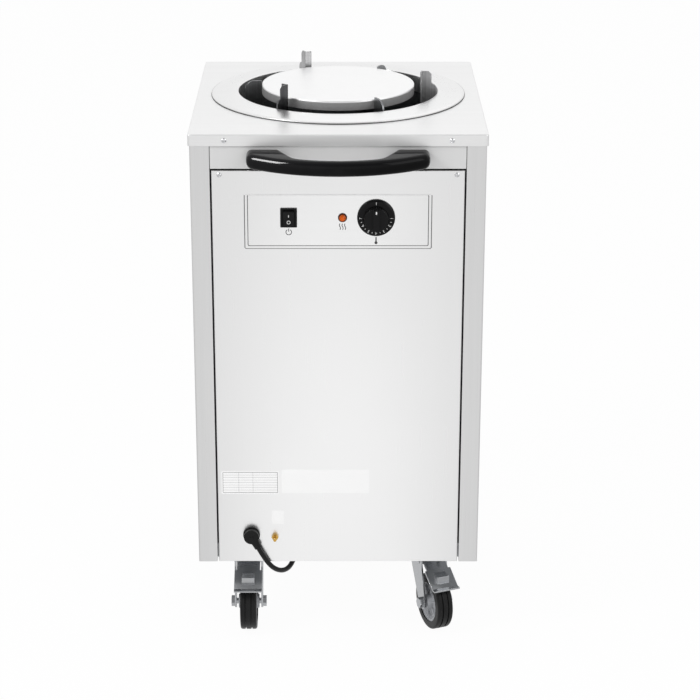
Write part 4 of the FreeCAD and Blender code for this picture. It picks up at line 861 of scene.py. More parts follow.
def set_on(piece: Thing, body: str, slot: str, *nodes: str) -> None:
    """Set a piece on its body, in place of solids where it stands for them.

    Args:
        piece: The piece.
        body: The body that carries it.
        slot: The record's material slot; not used.
        nodes: The solids that it replaces.
    """
    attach(piece, body)
    if nodes:
        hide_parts(*nodes)
    LOG.info("%s rides on %s", piece.name, body)


def dress(finish: Finish, *nodes: str) -> None:
    """Give solids of the frame a finish.

    Args:
        finish: The finish.
        nodes: The solids' names.
    """
    for name in nodes:
        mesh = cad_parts[name].data
        mesh.materials.clear()
        mesh.materials.append(finish.material())
        LOG.info("%s dressed in %s", name, finish.name)


def rounded(width: float, height: float, corner: float, steps: int = 6) -> list[Pair]:
    """Return a rectangle with round corners, about the middle.

    Args:
        width: Its width.
        height: Its height.
        corner: The corners' radius.
        steps: Points in each corner.

    Returns:
        The corners, anticlockwise.
    """
    points = []
    for quarter, (sx, sy) in enumerate(((1, 1), (-1, 1), (-1, -1), (1, -1))):
        middle = (sx * (width / 2 - corner), sy * (height / 2 - corner))
        for step in range(steps + 1):
            turn = math.pi / 2 * (quarter + step / steps)
            points.append((middle[0] + corner * math.cos(turn), middle[1] + corner * math.sin(turn)))
    return points


def eased(corners: Sequence[Corner], steps: int = 5) -> list[Pair]:
    """Round the corners of a profile that name a radius.

    Args:
        corners: Radius, height and, where it is rounded, the size of the round.
        steps: Points in each round.

    Returns:
        The profile with its rounds.
    """
    points: list[Pair] = []
    for place, corner in enumerate(corners):
        here = Vector(corner[:2])
        if len(corner) < 3:
            points.append(tuple(here))
            continue
        before = Vector(corners[place - 1][:2]) - here
        after = Vector(corners[(place + 1) % len(corners)][:2]) - here
        start = here + before.normalized() * corner[2]
        finish = here + after.normalized() * corner[2]
        for step in range(steps + 1):
            share = step / steps
            bend = here * (2 * share * (1 - share))
            points.append(tuple(start * (1 - share) ** 2 + bend + finish * share**2))
    return points


def moved(x: float, y: float, z: float, facing: Facing = Facing.UP, spin: float = 0.0) -> Matrix:
    """Return a place in the frame.

    Args:
        x: Metres to the right.
        y: Metres to the rear.
        z: Metres up.
        facing: The way the place's Z points.
        spin: Turn about the frame's Z, in degrees.

    Returns:
        The place as a matrix.
    """
    return Matrix.Translation((x, y, z)) @ Matrix.Rotation(math.radians(spin), 4, "Z") @ facing.matrix()


def along(place: Matrix, x: float = 0.0, y: float = 0.0, z: float = 0.0) -> Matrix:
    """Return a place moved along its own axes."""
    return place @ Matrix.Translation((x, y, z))


class NodeArray:
    """A geometry node tree that repeats a shape, run once and kept as a plain mesh."""

    name: ClassVar[str] = "array"
    inputs: ClassVar[dict[str, str]] = {}
    trees: ClassVar[dict[str, bpy.types.NodeTree]] = {}

    def wire(self, graph: Graph, given: Sockets) -> Socket:
        """Wire the tree from its inputs to the repeated geometry."""
        raise NotImplementedError

    def tree(self) -> bpy.types.NodeTree:
        """Build the tree at its first use.

        Returns:
            The tree.
        """
        if self.name in NodeArray.trees:
            return NodeArray.trees[self.name]
        tree = bpy.data.node_groups.new(self.name, "GeometryNodeTree")
        sockets = {"Geometry": "NodeSocketGeometry", **self.inputs, "Finish": "NodeSocketMaterial"}
        for name, kind in sockets.items():
            tree.interface.new_socket(name, in_out="INPUT", socket_type=kind)
        tree.interface.new_socket("Geometry", in_out="OUTPUT", socket_type="NodeSocketGeometry")
        graph = Graph(tree)
        entry = graph.node("NodeGroupInput")
        given = {name: entry.outputs[name] for name in sockets}
        real = graph.node("GeometryNodeRealizeInstances", {0: self.wire(graph, given)})
        feeds = {"Geometry": real.outputs[0], "Material": given["Finish"]}
        paint = graph.node("GeometryNodeSetMaterial", feeds)
        graph.node("NodeGroupOutput", {0: paint.outputs[0]})
        NodeArray.trees[self.name] = tree
        return tree

    def run(self, base: bpy.types.Mesh, finish: Finish, values: dict[str, object]) -> bpy.types.Mesh:
        """Run the tree on a mesh.

        Args:
            base: The mesh that it starts from.
            finish: The copies' finish.
            values: The tree's inputs by name.

        Returns:
            The result as a plain mesh.
        """
        holder = placed(self.name, base)
        modifier = holder.modifiers.new(self.name, "NODES")
        modifier.node_group = self.tree()
        settings = {**values, "Finish": finish.material()}
        for item in modifier.node_group.interface.items_tree:
            if item.item_type == "SOCKET" and item.in_out == "INPUT" and item.name in settings:
                modifier[item.identifier] = settings[item.name]
        made = evaluated(holder)
        holder.modifiers.remove(modifier)
        bpy.data.objects.remove(holder)
        return made


class SpotArray(NodeArray):
    """Copies of a template on points, each turned the way its point says and twisted at random."""

    name = "copies_on_spots"
    inputs = {"Template": "NodeSocketObject", "Twist": "NodeSocketFloat", "Seed": "NodeSocketInt"}

    def wire(self, graph: Graph, given: Sockets) -> Socket:
        """Put the template on the points.

        Args:
            graph: The tree that is wired.
            given: The tree's inputs by name.

        Returns:
            The copies.
        """
        points = graph.node("GeometryNodeMeshToPoints", {0: given["Geometry"]})
        template = graph.node("GeometryNodeObjectInfo", {0: given["Template"]})
        face = graph.node("GeometryNodeInputNamedAttribute", data_type="FLOAT")
        face.inputs["Name"].default_value = "turn"
        turn = graph.node("ShaderNodeCombineXYZ", {"Z": face.outputs[0]})
        copies = graph.node("GeometryNodeInstanceOnPoints", {
            "Points": points.outputs[0],
            "Instance": template.outputs["Geometry"],
            "Rotation": turn.outputs[0],
        })
        feeds = {3: given["Twist"], "Seed": given["Seed"]}
        chance = graph.node("FunctionNodeRandomValue", feeds, data_type="FLOAT")
        twist = graph.node("ShaderNodeCombineXYZ", {"Y": chance.outputs[1]})
        feeds = {"Instances": copies.outputs[0], "Rotation": twist.outputs[0]}
        return graph.node("GeometryNodeRotateInstances", feeds).outputs[0]


class RingArray(NodeArray):
    """Small bars round a circle, each pointing away from the middle."""

    name = "bars_round_a_circle"
    inputs = {
        "Count": "NodeSocketInt",
        "Radius": "NodeSocketFloat",
        "Start": "NodeSocketFloat",
        "Step": "NodeSocketFloat",
        "Size": "NodeSocketVector",
    }

    def wire(self, graph: Graph, given: Sockets) -> Socket:
        """Set the bars by their number round the circle.

        Args:
            graph: The tree that is wired.
            given: The tree's inputs by name.

        Returns:
            The bars.
        """
        line = graph.node("GeometryNodeMeshLine", {"Count": given["Count"]})
        number = graph.node("GeometryNodeInputIndex").outputs[0]
        turn = graph.calc("ADD", given["Start"], graph.times(number, given["Step"]))
        waves = (("X", "COSINE"), ("Y", "SINE"))
        feeds = {axis: graph.times(graph.calc(wave, turn), given["Radius"]) for axis, wave in waves}
        spot = graph.node("ShaderNodeCombineXYZ", feeds)
        feeds = {"Geometry": line.outputs[0], "Position": spot.outputs[0]}
        ring = graph.node("GeometryNodeSetPosition", feeds)
        bar = graph.node("GeometryNodeMeshCube", {"Size": given["Size"]})
        away = graph.node("ShaderNodeCombineXYZ", {"Z": turn})
        feeds = {"Points": ring.outputs[0], "Instance": bar.outputs[0], "Rotation": away.outputs[0]}
        return graph.node("GeometryNodeInstanceOnPoints", feeds).outputs[0]

    def bars(self, name: str, finish: Finish, place: Matrix, **values: object) -> Thing:
        """Make the bars as a piece.

        Args:
            name: The piece's name.
            finish: Its finish.
            place: Where the circle lies.
            values: The tree's inputs.

        Returns:
            The object.
        """
        mesh = self.run(bpy.data.meshes.new(name), finish, values)
        mesh.transform(place)
        return linked(name, mesh, finish)


def lettered(name: str, text: str, size: float, depth: float, place: Matrix, finish: Finish) -> Thing:
    """Make a plain figure as a raised mesh.

    Args:
        name: The piece's name.
        text: The figure.
        size: Its height.
        depth: How far it stands up.
        place: Where it lies, with its middle there.
        finish: Its finish.

    Returns:
        The object.
    """
    curve = bpy.data.curves.new(name, "FONT")
    curve.body = text
    curve.size = size
    curve.align_x = "CENTER"
    curve.align_y = "CENTER"
    curve.extrude = depth
    curve.resolution_u = 3
    holder = placed(name, curve)
    mesh = evaluated(holder)
    bpy.data.objects.remove(holder)
    mesh.transform(place)
    return linked(name, mesh, finish)


@dataclass
class Screws:
    """The pan-head screws of the cover and the panels, with cross recesses."""

    head: float = 4.0 * MM
    rise: float = 2.2 * MM
    shank: float = 2.0 * MM
    sunk: float = 5.0 * MM
    wall_share: float = 0.35
    wall_round: float = 0.4 * MM
    dome_share: float = 0.55
    dome_rise: float = 0.95
    dome_round: float = 0.8 * MM
    recess: float = 3.8 * MM
    recess_floor: float = 0.12
    recess_slimness: float = 4.8
    steps: int = 40
    head_sharp: float = 50.0
    cover_x: float = 178 * MM
    cover_rows: Pair = (-215.1 * MM, 289.9 * MM)
    cover_z: float = 872 * MM
    front_x: float = 186.4 * MM
    front_z: float = 816 * MM
    rear_x: float = 221.5 * MM
    rear_y: float = 287.4 * MM
    rear_heights: tuple[float, ...] = (206 * MM, 514 * MM, 812 * MM)
    cover_seed: int = 3
    panel_seed: int = 8

    def template(self) -> Thing:
        """Make one screw at the origin, its head to the front, with its recess cut.

        Returns:
            The screw.
        """
        place = Facing.FRONT.matrix()
        corners = [
            (0, -self.sunk),
            (self.shank, -self.sunk),
            (self.shank, 0),
            (self.head, 0),
            (self.head, self.rise * self.wall_share, self.wall_round),
            (self.head * self.dome_share, self.rise * self.dome_rise, self.dome_round),
            (0, self.rise),
        ]
        head = Piece("screw", Finishes.SCREW).turned(eased(corners), place, self.steps)
        head = head.finished(self.head_sharp)
        wide, slim = self.recess / 2, self.recess / self.recess_slimness
        arm = [Vector((wide, -slim)), Vector((wide, slim)), Vector((slim, slim))]
        turns = [Matrix.Rotation(math.pi / 2 * quarter, 2) for quarter in range(4)]
        cross = [tuple(turn @ corner) for turn in turns for corner in arm]
        depth = (self.rise * self.recess_floor, self.rise * 2)
        recess = Piece("recess", Finishes.SCREW).slab(cross, depth, place).finished()
        cut = head.modifiers.new("recess", "BOOLEAN")
        cut.object = recess
        cut.operation = "DIFFERENCE"
        mesh = evaluated(head)
        head.modifiers.remove(cut)
        head.data = mesh
        bpy.data.objects.remove(recess)
        return head

    def spread(self, name: str, spots: Sequence[Spot], template: Thing, seed: int) -> Thing:
        """Set a screw at each spot, facing out.

        Args:
            name: The piece's name.
            spots: The places.
            template: The screw.
            seed: The seed of the twists.

        Returns:
            The screws as one piece.
        """
        base = bpy.data.meshes.new(name)
        base.from_pydata(spots, [], [])
        turns = base.attributes.new("turn", "FLOAT", "POINT")
        for place, spot in enumerate(spots):
            turns.data[place].value = 0.0 if spot[1] < 0 else math.pi
        values = {"Template": template, "Twist": math.pi / 2, "Seed": seed}
        return linked(name, SpotArray().run(base, Finishes.SCREW, values), Finishes.SCREW, SOFT)

    def build(self) -> None:
        """Make both sets of screws."""
        template = self.template()
        cover = [(side * self.cover_x, y, self.cover_z) for y in self.cover_rows for side in SIDES]
        panel = [(side * self.front_x, FACE_Y, self.front_z) for side in SIDES]
        panel += [(side * self.rear_x, self.rear_y, height) for side in SIDES for height in self.rear_heights]
        for kind, spots, seed in (("cover", cover, self.cover_seed), ("panel", panel, self.panel_seed)):
            heads = self.spread(kind + "_screw_heads", spots, template, seed)
            set_on(heads, "cabinet", "screw_steel", kind + "_screws")
        bpy.data.objects.remove(template)


@dataclass
class ShadowStrips:
    """Black strips that paint the shadow in the joints under the rail, at its ends and under the ring."""

    half_width: float = 201 * MM
    set_back: float = 1.6 * MM
    deep: float = 9 * MM
    gap: Pair = (823.05 * MM, 825.95 * MM)
    rim: float = 211 * MM
    rim_low: float = 0.02 * MM
    shadow_size: float = 0.9 * MM
    shadow_outer_share: float = 0.45
    lip_foot: float = 863 * MM
    sunk: float = 0.3 * MM
    proud: float = 0.03 * MM
    strip_round: float = 0.4 * MM
    end_round: float = 0.2 * MM
    ring_round: float = 0.3 * MM

    def build(self) -> None:
        """Lay the straight black strips and the round one, all painted shadow."""
        self.strip()
        self.ends()
        self.ring()

    def strip(self) -> None:
        """Lay the black strip in the gap under the rail, a painted shadow."""
        middle, tall = sum(self.gap) / 2, self.gap[1] - self.gap[0]
        place = moved(0, FACE_Y + self.set_back, middle, Facing.FRONT)
        strip = Piece("rail_seal", Finishes.SHADOW_STRIP)
        strip.slab(rounded(self.half_width * 2, tall, self.strip_round, 3), (-self.deep, 0), place)
        set_on(strip.finished(), "cabinet", "black")

    def ends(self) -> None:
        """Lay a thin black line in the joint at each end of the rail, a painted shadow line."""
        middle, tall = (self.gap[1] + self.lip_foot) / 2, self.lip_foot - self.gap[1]
        ends = Piece("rail_end_seals", Finishes.SHADOW_STRIP)
        for side in SIDES:
            place = moved(side * self.half_width, FACE_Y, middle, Facing.FRONT)
            ends.slab(rounded(self.shadow_size, tall, self.end_round, 3), (-self.sunk, self.proud), place)
        set_on(ends.finished(), "cabinet", "black")

    def ring(self) -> None:
        """Lay the thin black ring at the foot of the ring's rim, a painted shadow."""
        inner, outer = self.rim - self.shadow_size, self.rim + self.shadow_size * self.shadow_outer_share
        corners = [
            (inner, self.rim_low),
            (outer, self.rim_low),
            (outer, self.shadow_size, self.ring_round),
            (inner, self.shadow_size),
        ]
        ring = Piece("ring_seal", Finishes.SHADOW_STRIP)
        ring.turned(eased(corners), moved(0, WELL_Y, TOP_Z), FINE_STEPS, loop=True)
        set_on(ring.finished(), "cabinet", "black")


@dataclass
class WellTop:
    """The ring round the opening and the platform in it."""

    opening: float = 166 * MM
    collar: float = 22 * MM
    rim: float = 211 * MM
    rim_flat: float = 4 * MM
    rim_rise: float = 3.0 * MM
    rim_round: float = 1.0 * MM
    slope_round: float = 1.5 * MM
    crown: float = 6.4 * MM
    crown_flat: float = 7 * MM
    crown_under: float = 5 * MM
    crown_round: float = 3 * MM
    mouth_round: float = 1.6 * MM
    band: float = 0.4 * MM
    band_drop: float = 0.3 * MM
    band_gap: float = 0.1 * MM
    sheet: float = 1.5 * MM
    platform: float = 127 * MM
    platform_flat: float = 8 * MM
    platform_round: float = 2.6 * MM
    under_round: float = 1.2 * MM
    rise: float = 17 * MM
    skirt: float = 16 * MM
    foot_round: float = 0.4 * MM
    rim_drop: float = 3.4 * MM

    def build(self) -> None:
        """Spin the ring and the platform."""
        ring, steel = "ring_steel", "platform_steel"
        self.spin("opening_ring_spun", Finishes.RING, self.ring_profile(), "cabinet", ring, "opening_ring")
        # A darker band painted on the rim's side wall as shade.
        self.spin("opening_ring_edge", Finishes.EDGE, self.band_profile(), "cabinet", ring)
        self.spin("platform_spun", Finishes.PLATFORM, self.disc_profile(), "lift", steel, "platform_disc")
        # The skirt is painted darker than the platform's top, as the well's shade.
        self.spin("platform_skirt", Finishes.SHADED_SKIRT, self.skirt_profile(), "lift", steel)

    def spin(
        self, name: str, finish: Finish, profile: Sequence[Corner], body: str, slot: str, *nodes: str,
    ) -> None:
        """Spin a section about the well's axis, from the cover's top, and set it on its body.

        Args:
            name: The piece's name.
            finish: Its finish.
            profile: The section.
            body: The body that carries it.
            slot: The record's material slot.
            nodes: The solids that it replaces.
        """
        piece = Piece(name, finish).turned(eased(profile), moved(0, WELL_Y, TOP_Z), FINE_STEPS, loop=True)
        set_on(piece.finished(SOFT), body, slot, *nodes)

    def ring_profile(self) -> list[Corner]:
        """Draw the ring's section: a collar, a crowned flange and a turned-down rim.

        Returns:
            Its corners, with their rounds.
        """
        thin = self.sheet
        outer = self.opening + thin
        return [
            (self.opening, -self.collar),
            (outer, -self.collar),
            (outer, self.crown - thin * 2),
            (outer + self.crown_under, self.crown - thin),
            (self.rim - self.rim_flat, self.rim_rise - thin / 2),
            (self.rim - thin, self.rim_rise - thin),
            (self.rim - thin, 0),
            (self.rim - self.band, 0),
            (self.rim - self.band, self.rim_rise - thin / 2, self.rim_round),
            (self.rim - self.rim_flat, self.rim_rise + thin / 2, self.slope_round),
            (self.opening + self.crown_flat, self.crown, self.crown_round),
            (self.opening, self.crown, self.mouth_round),
        ]

    def band_profile(self) -> list[Corner]:
        """Draw the section of a thin darker band round the ring's rim, painted shade on its side wall.

        Returns:
            Its corners.
        """
        inner = self.rim - self.sheet + self.band_gap
        top = self.rim_rise - self.sheet / 2 - self.band_drop
        return [(inner, 0.0), (self.rim, 0.0), (self.rim, top), (inner, top)]

    def disc_profile(self) -> list[Corner]:
        """Draw the platform's section: a flat top with a rounded rim, down to where the skirt starts.

        Returns:
            Its corners, with their rounds.
        """
        low, thin = self.rise - self.rim_drop, self.sheet
        return [
            (0, self.rise),
            (self.platform - self.platform_flat, self.rise),
            (self.platform, self.rise, self.platform_round),
            (self.platform, low),
            (self.platform - thin, low),
            (self.platform - thin, self.rise - thin, self.under_round),
            (0, self.rise - thin),
        ]

    def skirt_profile(self) -> list[Corner]:
        """Draw the skirt's section: a straight wall with an eased foot.

        Returns:
            Its corners, with their rounds.
        """
        low, high, ease = self.rise - self.skirt, self.rise - self.rim_drop, self.foot_round
        inner, outer = self.platform - self.sheet, self.platform
        return [(inner, high), (inner, low, ease), (outer, low, ease), (outer, high)]


@dataclass
class Handle:
    """The moulded bow handle, with the full rounds of a moulding."""

    half: float = 143.5 * MM
    shoulder: float = 30 * MM
    bow: float = 49.5 * MM
    bow_steps: int = 80
    foot: float = 88 * MM
    grip_half: float = 66 * MM
    grip_out: float = 46 * MM
    grip_bow: float = 12.5 * MM
    grip_steps: int = 40
    corner: float = 20 * MM
    walk: float = 1.5 * MM
    level: float = 845 * MM
    tall: float = 24 * MM
    inset: float = 9.8 * MM
    fullness: float = 2.3
    rows: int = 24

    def arc(self, half: float, start: float, bow: float, steps: int) -> list[Vector]:
        """Return points from left to right along an arc that bows to the front.

        Args:
            half: Half its width.
            start: How far its ends stand out from the rail.
            bow: How much further its middle stands out.
            steps: Runs along it.

        Returns:
            The points, with their distance out as a negative Y.
        """
        radius = (half**2 + bow**2) / (2 * bow)
        reach = math.asin(half / radius)
        turns = [reach * (2 * step / steps - 1) for step in range(steps + 1)]
        return [Vector((radius * math.sin(t), -(start + bow - radius * (1 - math.cos(t))))) for t in turns]

    def outline(self) -> list[Vector]:
        """Draw the handle's plan from its left foot round the bow and back inside, with round corners.

        Returns:
            The plan's points.
        """
        front = self.arc(self.half, self.shoulder, self.bow, self.bow_steps)
        inside = self.arc(self.grip_half, self.grip_out, self.grip_bow, self.grip_steps)[::-1]
        left, right = Vector((-self.half, 0)), Vector((self.half, 0))
        plan = [left, *front, right, Vector((self.foot, 0)), *inside, Vector((-self.foot, 0))]
        fixed = {0, len(front) + 1, len(front) + 2, len(plan) - 1}
        return self.softened(plan, fixed)

    def softened(self, plan: list[Vector], fixed: set[int]) -> list[Vector]:
        """Round a closed plan by walking it in even steps and averaging, its feet held on the rail.

        Args:
            plan: The corners.
            fixed: The places of the corners that stay.

        Returns:
            The rounded plan.
        """
        points: list[Vector] = []
        held: list[bool] = []
        for place, spot in enumerate(plan):
            after = plan[(place + 1) % len(plan)]
            on_rail = spot.y == after.y == 0
            count = 1 if on_rail else max(1, round((after - spot).length / self.walk))
            points += [spot.lerp(after, part / count) for part in range(count)]
            held += [place in fixed] + [False] * (count - 1)
        for _ in range(round((self.corner / self.walk) ** 2 / 4)):
            ends = zip(points[-1:] + points[:-1], points[1:] + points[:1])
            points = [
                spot if stay else (spot * 2 + before + after) / 4
                for spot, stay, (before, after) in zip(points, held, ends)
            ]
        return points

    def build(self) -> Thing:
        """Loft the plan, drawn in by a rounded section, from its underside to its top.

        Returns:
            The handle.
        """
        plan = self.outline()
        count = len(plan)
        inward = []
        for place, spot in enumerate(plan):
            way = plan[(place + 1) % count] - plan[place - 1]
            normal = Vector((-way.y, way.x)).normalized()
            inward.append(Vector((math.copysign(1, normal.x), 0)) if spot.y == 0 else normal)
        handle = Piece("handle_moulded", Finishes.HANDLE)
        rows = []
        for row in range(self.rows + 1):
            turn = math.pi * (row / self.rows - 0.5)
            draw = self.inset * (1 - math.cos(turn) ** (2 / self.fullness))
            lift = math.copysign(abs(math.sin(turn)) ** (2 / self.fullness), turn) * self.tall / 2
            spots = [spot + normal * draw for spot, normal in zip(plan, inward)]
            level = self.level + lift
            rows.append([handle.work.verts.new((spot.x, FACE_Y + spot.y, level)) for spot in spots])
        for below, above in zip(rows, rows[1:]):
            handle.stitch(below, above, count)
        handle.work.faces.new(rows[-1])
        handle.work.faces.new(rows[0][::-1])
        made = handle.finished(SOFT)
        set_on(made, "cabinet", "black", "push_handle")
        return made


@dataclass
class Controls:
    """The marks and lens of the control plate, and its knob."""

    knob_x: float = 60 * MM
    lamp_x: float = 7 * MM
    switch_x: float = -78 * MM
    knob: float = 30 * MM
    knob_foot: float = 0.8 * MM
    bore: float = 3.06 * MM
    bore_top: float = 15.8 * MM
    skirt: float = 5 * MM
    grip: float = 20.5 * MM
    grip_rise: float = 16 * MM
    bar_rise: float = 22 * MM
    bar: float = 11 * MM
    bar_step: float = 1 * MM
    ribs: int = 36
    rib: Spot = (1.3 * MM, 0.9 * MM, 8 * MM)
    rib_level: float = 10.6 * MM
    figures: int = 7
    figure: float = 6.2 * MM
    figure_ring: float = 24.2 * MM
    tick: Spot = (2.2 * MM, 0.7 * MM, 0.24 * MM)
    # The dial's zero line and its pointer, as width, height and corner.
    zero: Spot = (0.9 * MM, 4.4 * MM, 0.3 * MM)
    pointer: Spot = (2 * MM, 4.6 * MM, 0.6 * MM)
    pointer_in: float = 7 * MM
    print_lift: float = 0.3 * MM
    print_half: float = 0.1 * MM
    print_rise: float = 0.12 * MM
    print_sunk: float = 0.05 * MM
    rocker_out: float = 2.6 * MM
    rocker_face: float = 2.5 * MM
    rocker_tilt: float = 9.0
    rocker_slope: float = 1.7 / 12
    # The rocker's bar as width, height and place up, and its ring as two radii and place up.
    rocker_bar: Spot = (1.0 * MM, 4.2 * MM, 4.4 * MM)
    rocker_ring: Spot = (2.1 * MM, 2.9 * MM, -6.2 * MM)
    # The lens's section, as radius and distance out from the plate.
    lens_rows: tuple[Pair, ...] = (
        (0, 1.4 * MM),
        (5.5 * MM, 1.4 * MM),
        (5.5 * MM, 3.6 * MM),
        (4.6 * MM, 5.6 * MM),
        (2.6 * MM, 6.8 * MM),
        (0, 7 * MM),
    )
    facets: int = 10
    facet_sharp: float = 4.0
    sign_drops: tuple[float, ...] = (24 * MM, 15 * MM, 38 * MM)
    sign_scale: float = 1.35
    sign_line: float = 0.9 * MM
    sign_rise: float = 0.06 * MM
    power_ring: float = 3.3 * MM
    power_bar: Pair = (0.6 * MM, 4.4 * MM)
    wave_gap: float = 3 * MM
    wave_swing: float = 0.7 * MM
    wave_tall: float = 7.4 * MM
    wave_steps: int = 12
    bulb: float = 3.6 * MM
    bulb_at: float = -2.6 * MM
    stem: Pair = (1.5 * MM, 6.4 * MM)
    stem_at: float = 1.2 * MM
    shade_round: float = 0.3 * MM
    shade_top: float = 783 * MM
    shade_level: Pair = (-0.3 * MM, 0.12 * MM)
    # The painted shadow lines' width, foot, line and distance in front of the panel, for the plate and for
    # the sheet on it.
    shade_frames: tuple[Corner, ...] = (
        (294 * MM, 696 * MM, 2.5 * MM, 0.1 * MM),
        (284 * MM, 701 * MM, 2.2 * MM, 1.65 * MM),
    )

    def build(self) -> None:
        """Make the pieces of the control plate."""
        self.dial()
        self.dial_marks()
        self.rocker_marks()
        self.lens()
        self.signs()
        self.shade_lines()

    def dial(self) -> None:
        """Shape the knob: a skirt with a soft edge, a grip with fine ribs, and a bar across it."""
        place = moved(self.knob_x, SKIN_Y, CONTROL_Z, Facing.FRONT)
        corners = [
            (self.bore, self.knob_foot),
            (self.bore, self.bore_top),
            (0, self.bore_top),
            (0, self.grip_rise),
            (self.grip - 2 * MM, self.grip_rise, 1.2 * MM),
            (self.grip, self.skirt + 0.4 * MM, 0.6 * MM),
            (self.knob - 3 * MM, self.skirt, 1.2 * MM),
            (self.knob, 2.8 * MM, 1 * MM),
            (self.knob, self.knob_foot, 0.3 * MM),
        ]
        knob = Piece("dial_body", Finishes.KNOB).turned(eased(corners), place, loop=True)
        step, length = self.bar_step, (self.grip - 2.6 * MM) * 2
        knob.slab(rounded(self.bar, length, 2.4 * MM), (self.grip_rise - step, self.bar_rise - step), place)
        top = rounded(self.bar - step * 2, length - step * 2, 1.8 * MM)
        knob.slab(top, (self.bar_rise - 1.4 * MM, self.bar_rise), place)
        ribs = RingArray().bars(
            "dial_ribs", Finishes.KNOB, along(place, z=self.rib_level), Count=self.ribs,
            Radius=self.grip - 0.95 * MM, Start=0.0, Step=math.tau / self.ribs, Size=self.rib,
        )
        set_on(merged("dial_shaped", Finishes.KNOB, [knob.finished(), ribs]), "knob", "black", "dial_knob")

    def dial_marks(self) -> None:
        """Print the dial: figures clockwise from three o'clock, ticks between, and a pointer on the bar."""
        place = moved(self.knob_x, SKIN_Y, CONTROL_Z, Facing.FRONT)
        level, ink, ring = self.skirt + self.print_lift, Finishes.WHITE_INK, self.figure_ring
        step = math.pi / (self.figures - 1)
        marks = []
        for number in range(self.figures):
            turn = -step * number
            spot = along(place, ring * math.cos(turn), ring * math.sin(turn), level)
            lie = spot @ Matrix.Rotation(turn - math.pi / 2, 4, "Z")
            marks.append(lettered("figure", str(number + 1), self.figure, self.print_rise, lie, ink))
        marks.append(RingArray().bars(
            "ticks", ink, along(place, z=level), Count=self.figures - 1, Radius=ring,
            Start=-step / 2, Step=-step, Size=self.tick,
        ))
        lines = Piece("lines", ink)
        height = (level - self.print_half, level + self.print_rise)
        lines.slab(rounded(*self.zero, 3), height, along(place, y=ring))
        height = (self.bar_rise - self.print_half, self.bar_rise + self.print_half)
        lines.slab(rounded(*self.pointer, 3), height, along(place, y=self.grip - self.pointer_in))
        set_on(merged("dial_figures", ink, marks + [lines.finished()]), "knob", "black")

    def rocker_marks(self) -> None:
        """Mark the rocker's halves with a bar and a ring."""
        pivot = moved(self.switch_x, SKIN_Y - self.rocker_out, CONTROL_Z)
        pivot = pivot @ Matrix.Rotation(math.radians(self.rocker_tilt), 4, "X")
        low, high = -self.print_sunk, self.print_rise
        marks = Piece("rocker_marks", Finishes.WHITE_INK)

        def half(height: float) -> Matrix:
            """Find a place on the rocker's face.

            Args:
                height: How far it is above the pivot.

            Returns:
                The place.
            """
            depth = self.rocker_face + abs(height) * self.rocker_slope
            lean = Matrix.Rotation(math.copysign(math.atan(self.rocker_slope), height), 4, "X")
            return along(pivot, y=-depth, z=height) @ lean @ Facing.FRONT.matrix()

        wide, tall, up = self.rocker_bar
        marks.slab(rounded(wide, tall, 0.3 * MM, 3), (low, high), half(up))
        inner, outer, up = self.rocker_ring
        ring = [(inner, low), (outer, low), (outer, high), (inner, high)]
        marks.turned(ring, half(up), 40, loop=True)
        set_on(marks.finished(), "rocker", "black")

    def lens(self) -> None:
        """Cut the lamp's lens with facets."""
        place = moved(self.lamp_x, SKIN_Y, CONTROL_Z, Facing.FRONT)
        lens = Piece("lamp_lens_cut", Finishes.AMBER).turned(self.lens_rows, place, self.facets)
        set_on(lens.finished(self.facet_sharp), "cabinet", "amber", "lamp_lens")

    def signs(self) -> None:
        """Print a plain sign under each control: on and off, warmth, and a thermometer."""
        level, thick = (-self.print_sunk, self.sign_rise), self.sign_line
        signs = Piece("control_signs", Finishes.GREY_INK)
        grown = Matrix.Diagonal((self.sign_scale, self.sign_scale, 1, 1))
        power, warmth, heat = (
            moved(x, SKIN_Y, CONTROL_Z - drop, Facing.FRONT) @ grown
            for x, drop in zip((self.switch_x, self.lamp_x, self.knob_x), self.sign_drops)
        )
        turns = [math.radians(120 + 15 * step) for step in range(21)]
        arc = [(self.power_ring * math.cos(turn), self.power_ring * math.sin(turn)) for turn in turns]
        signs.stroke(arc, thick, level, power)
        signs.stroke([(0, height) for height in self.power_bar], thick, level, power)
        rises = [step / self.wave_steps for step in range(self.wave_steps + 1)]
        swings = [self.wave_swing * math.sin(math.tau * rise) for rise in rises]
        for shift in (-self.wave_gap, 0, self.wave_gap):
            wave = [(shift + swing, (rise - 0.5) * self.wave_tall) for swing, rise in zip(swings, rises)]
            signs.stroke(wave, thick, level, warmth)
        signs.slab(rounded(self.bulb, self.bulb, self.bulb / 2), level, along(heat, y=self.bulb_at))
        signs.slab(rounded(*self.stem, self.stem[0] / 2), level, along(heat, y=self.stem_at))
        set_on(signs.finished(), "cabinet", "black")

    def shade_lines(self) -> None:
        """Draw painted shadow lines at the plate's sides and foot, and at the sheet on it, none along the
        tops where light falls.
        """
        lines = Piece("plate_seams", Finishes.DARK_LINE)
        for width, foot, thick, proud in self.shade_frames:
            middle, height = (foot + self.shade_top) / 2, self.shade_top - foot
            runs = [(0, foot, width, thick)]
            runs += [(side * width / 2, middle, thick, height) for side in SIDES]
            for x, z, wide, tall in runs:
                place = moved(x, FACE_Y - proud, z, Facing.FRONT)
                lines.slab(rounded(wide, tall, self.shade_round, 2), self.shade_level, place)
        set_on(lines.finished(), "cabinet", "black")


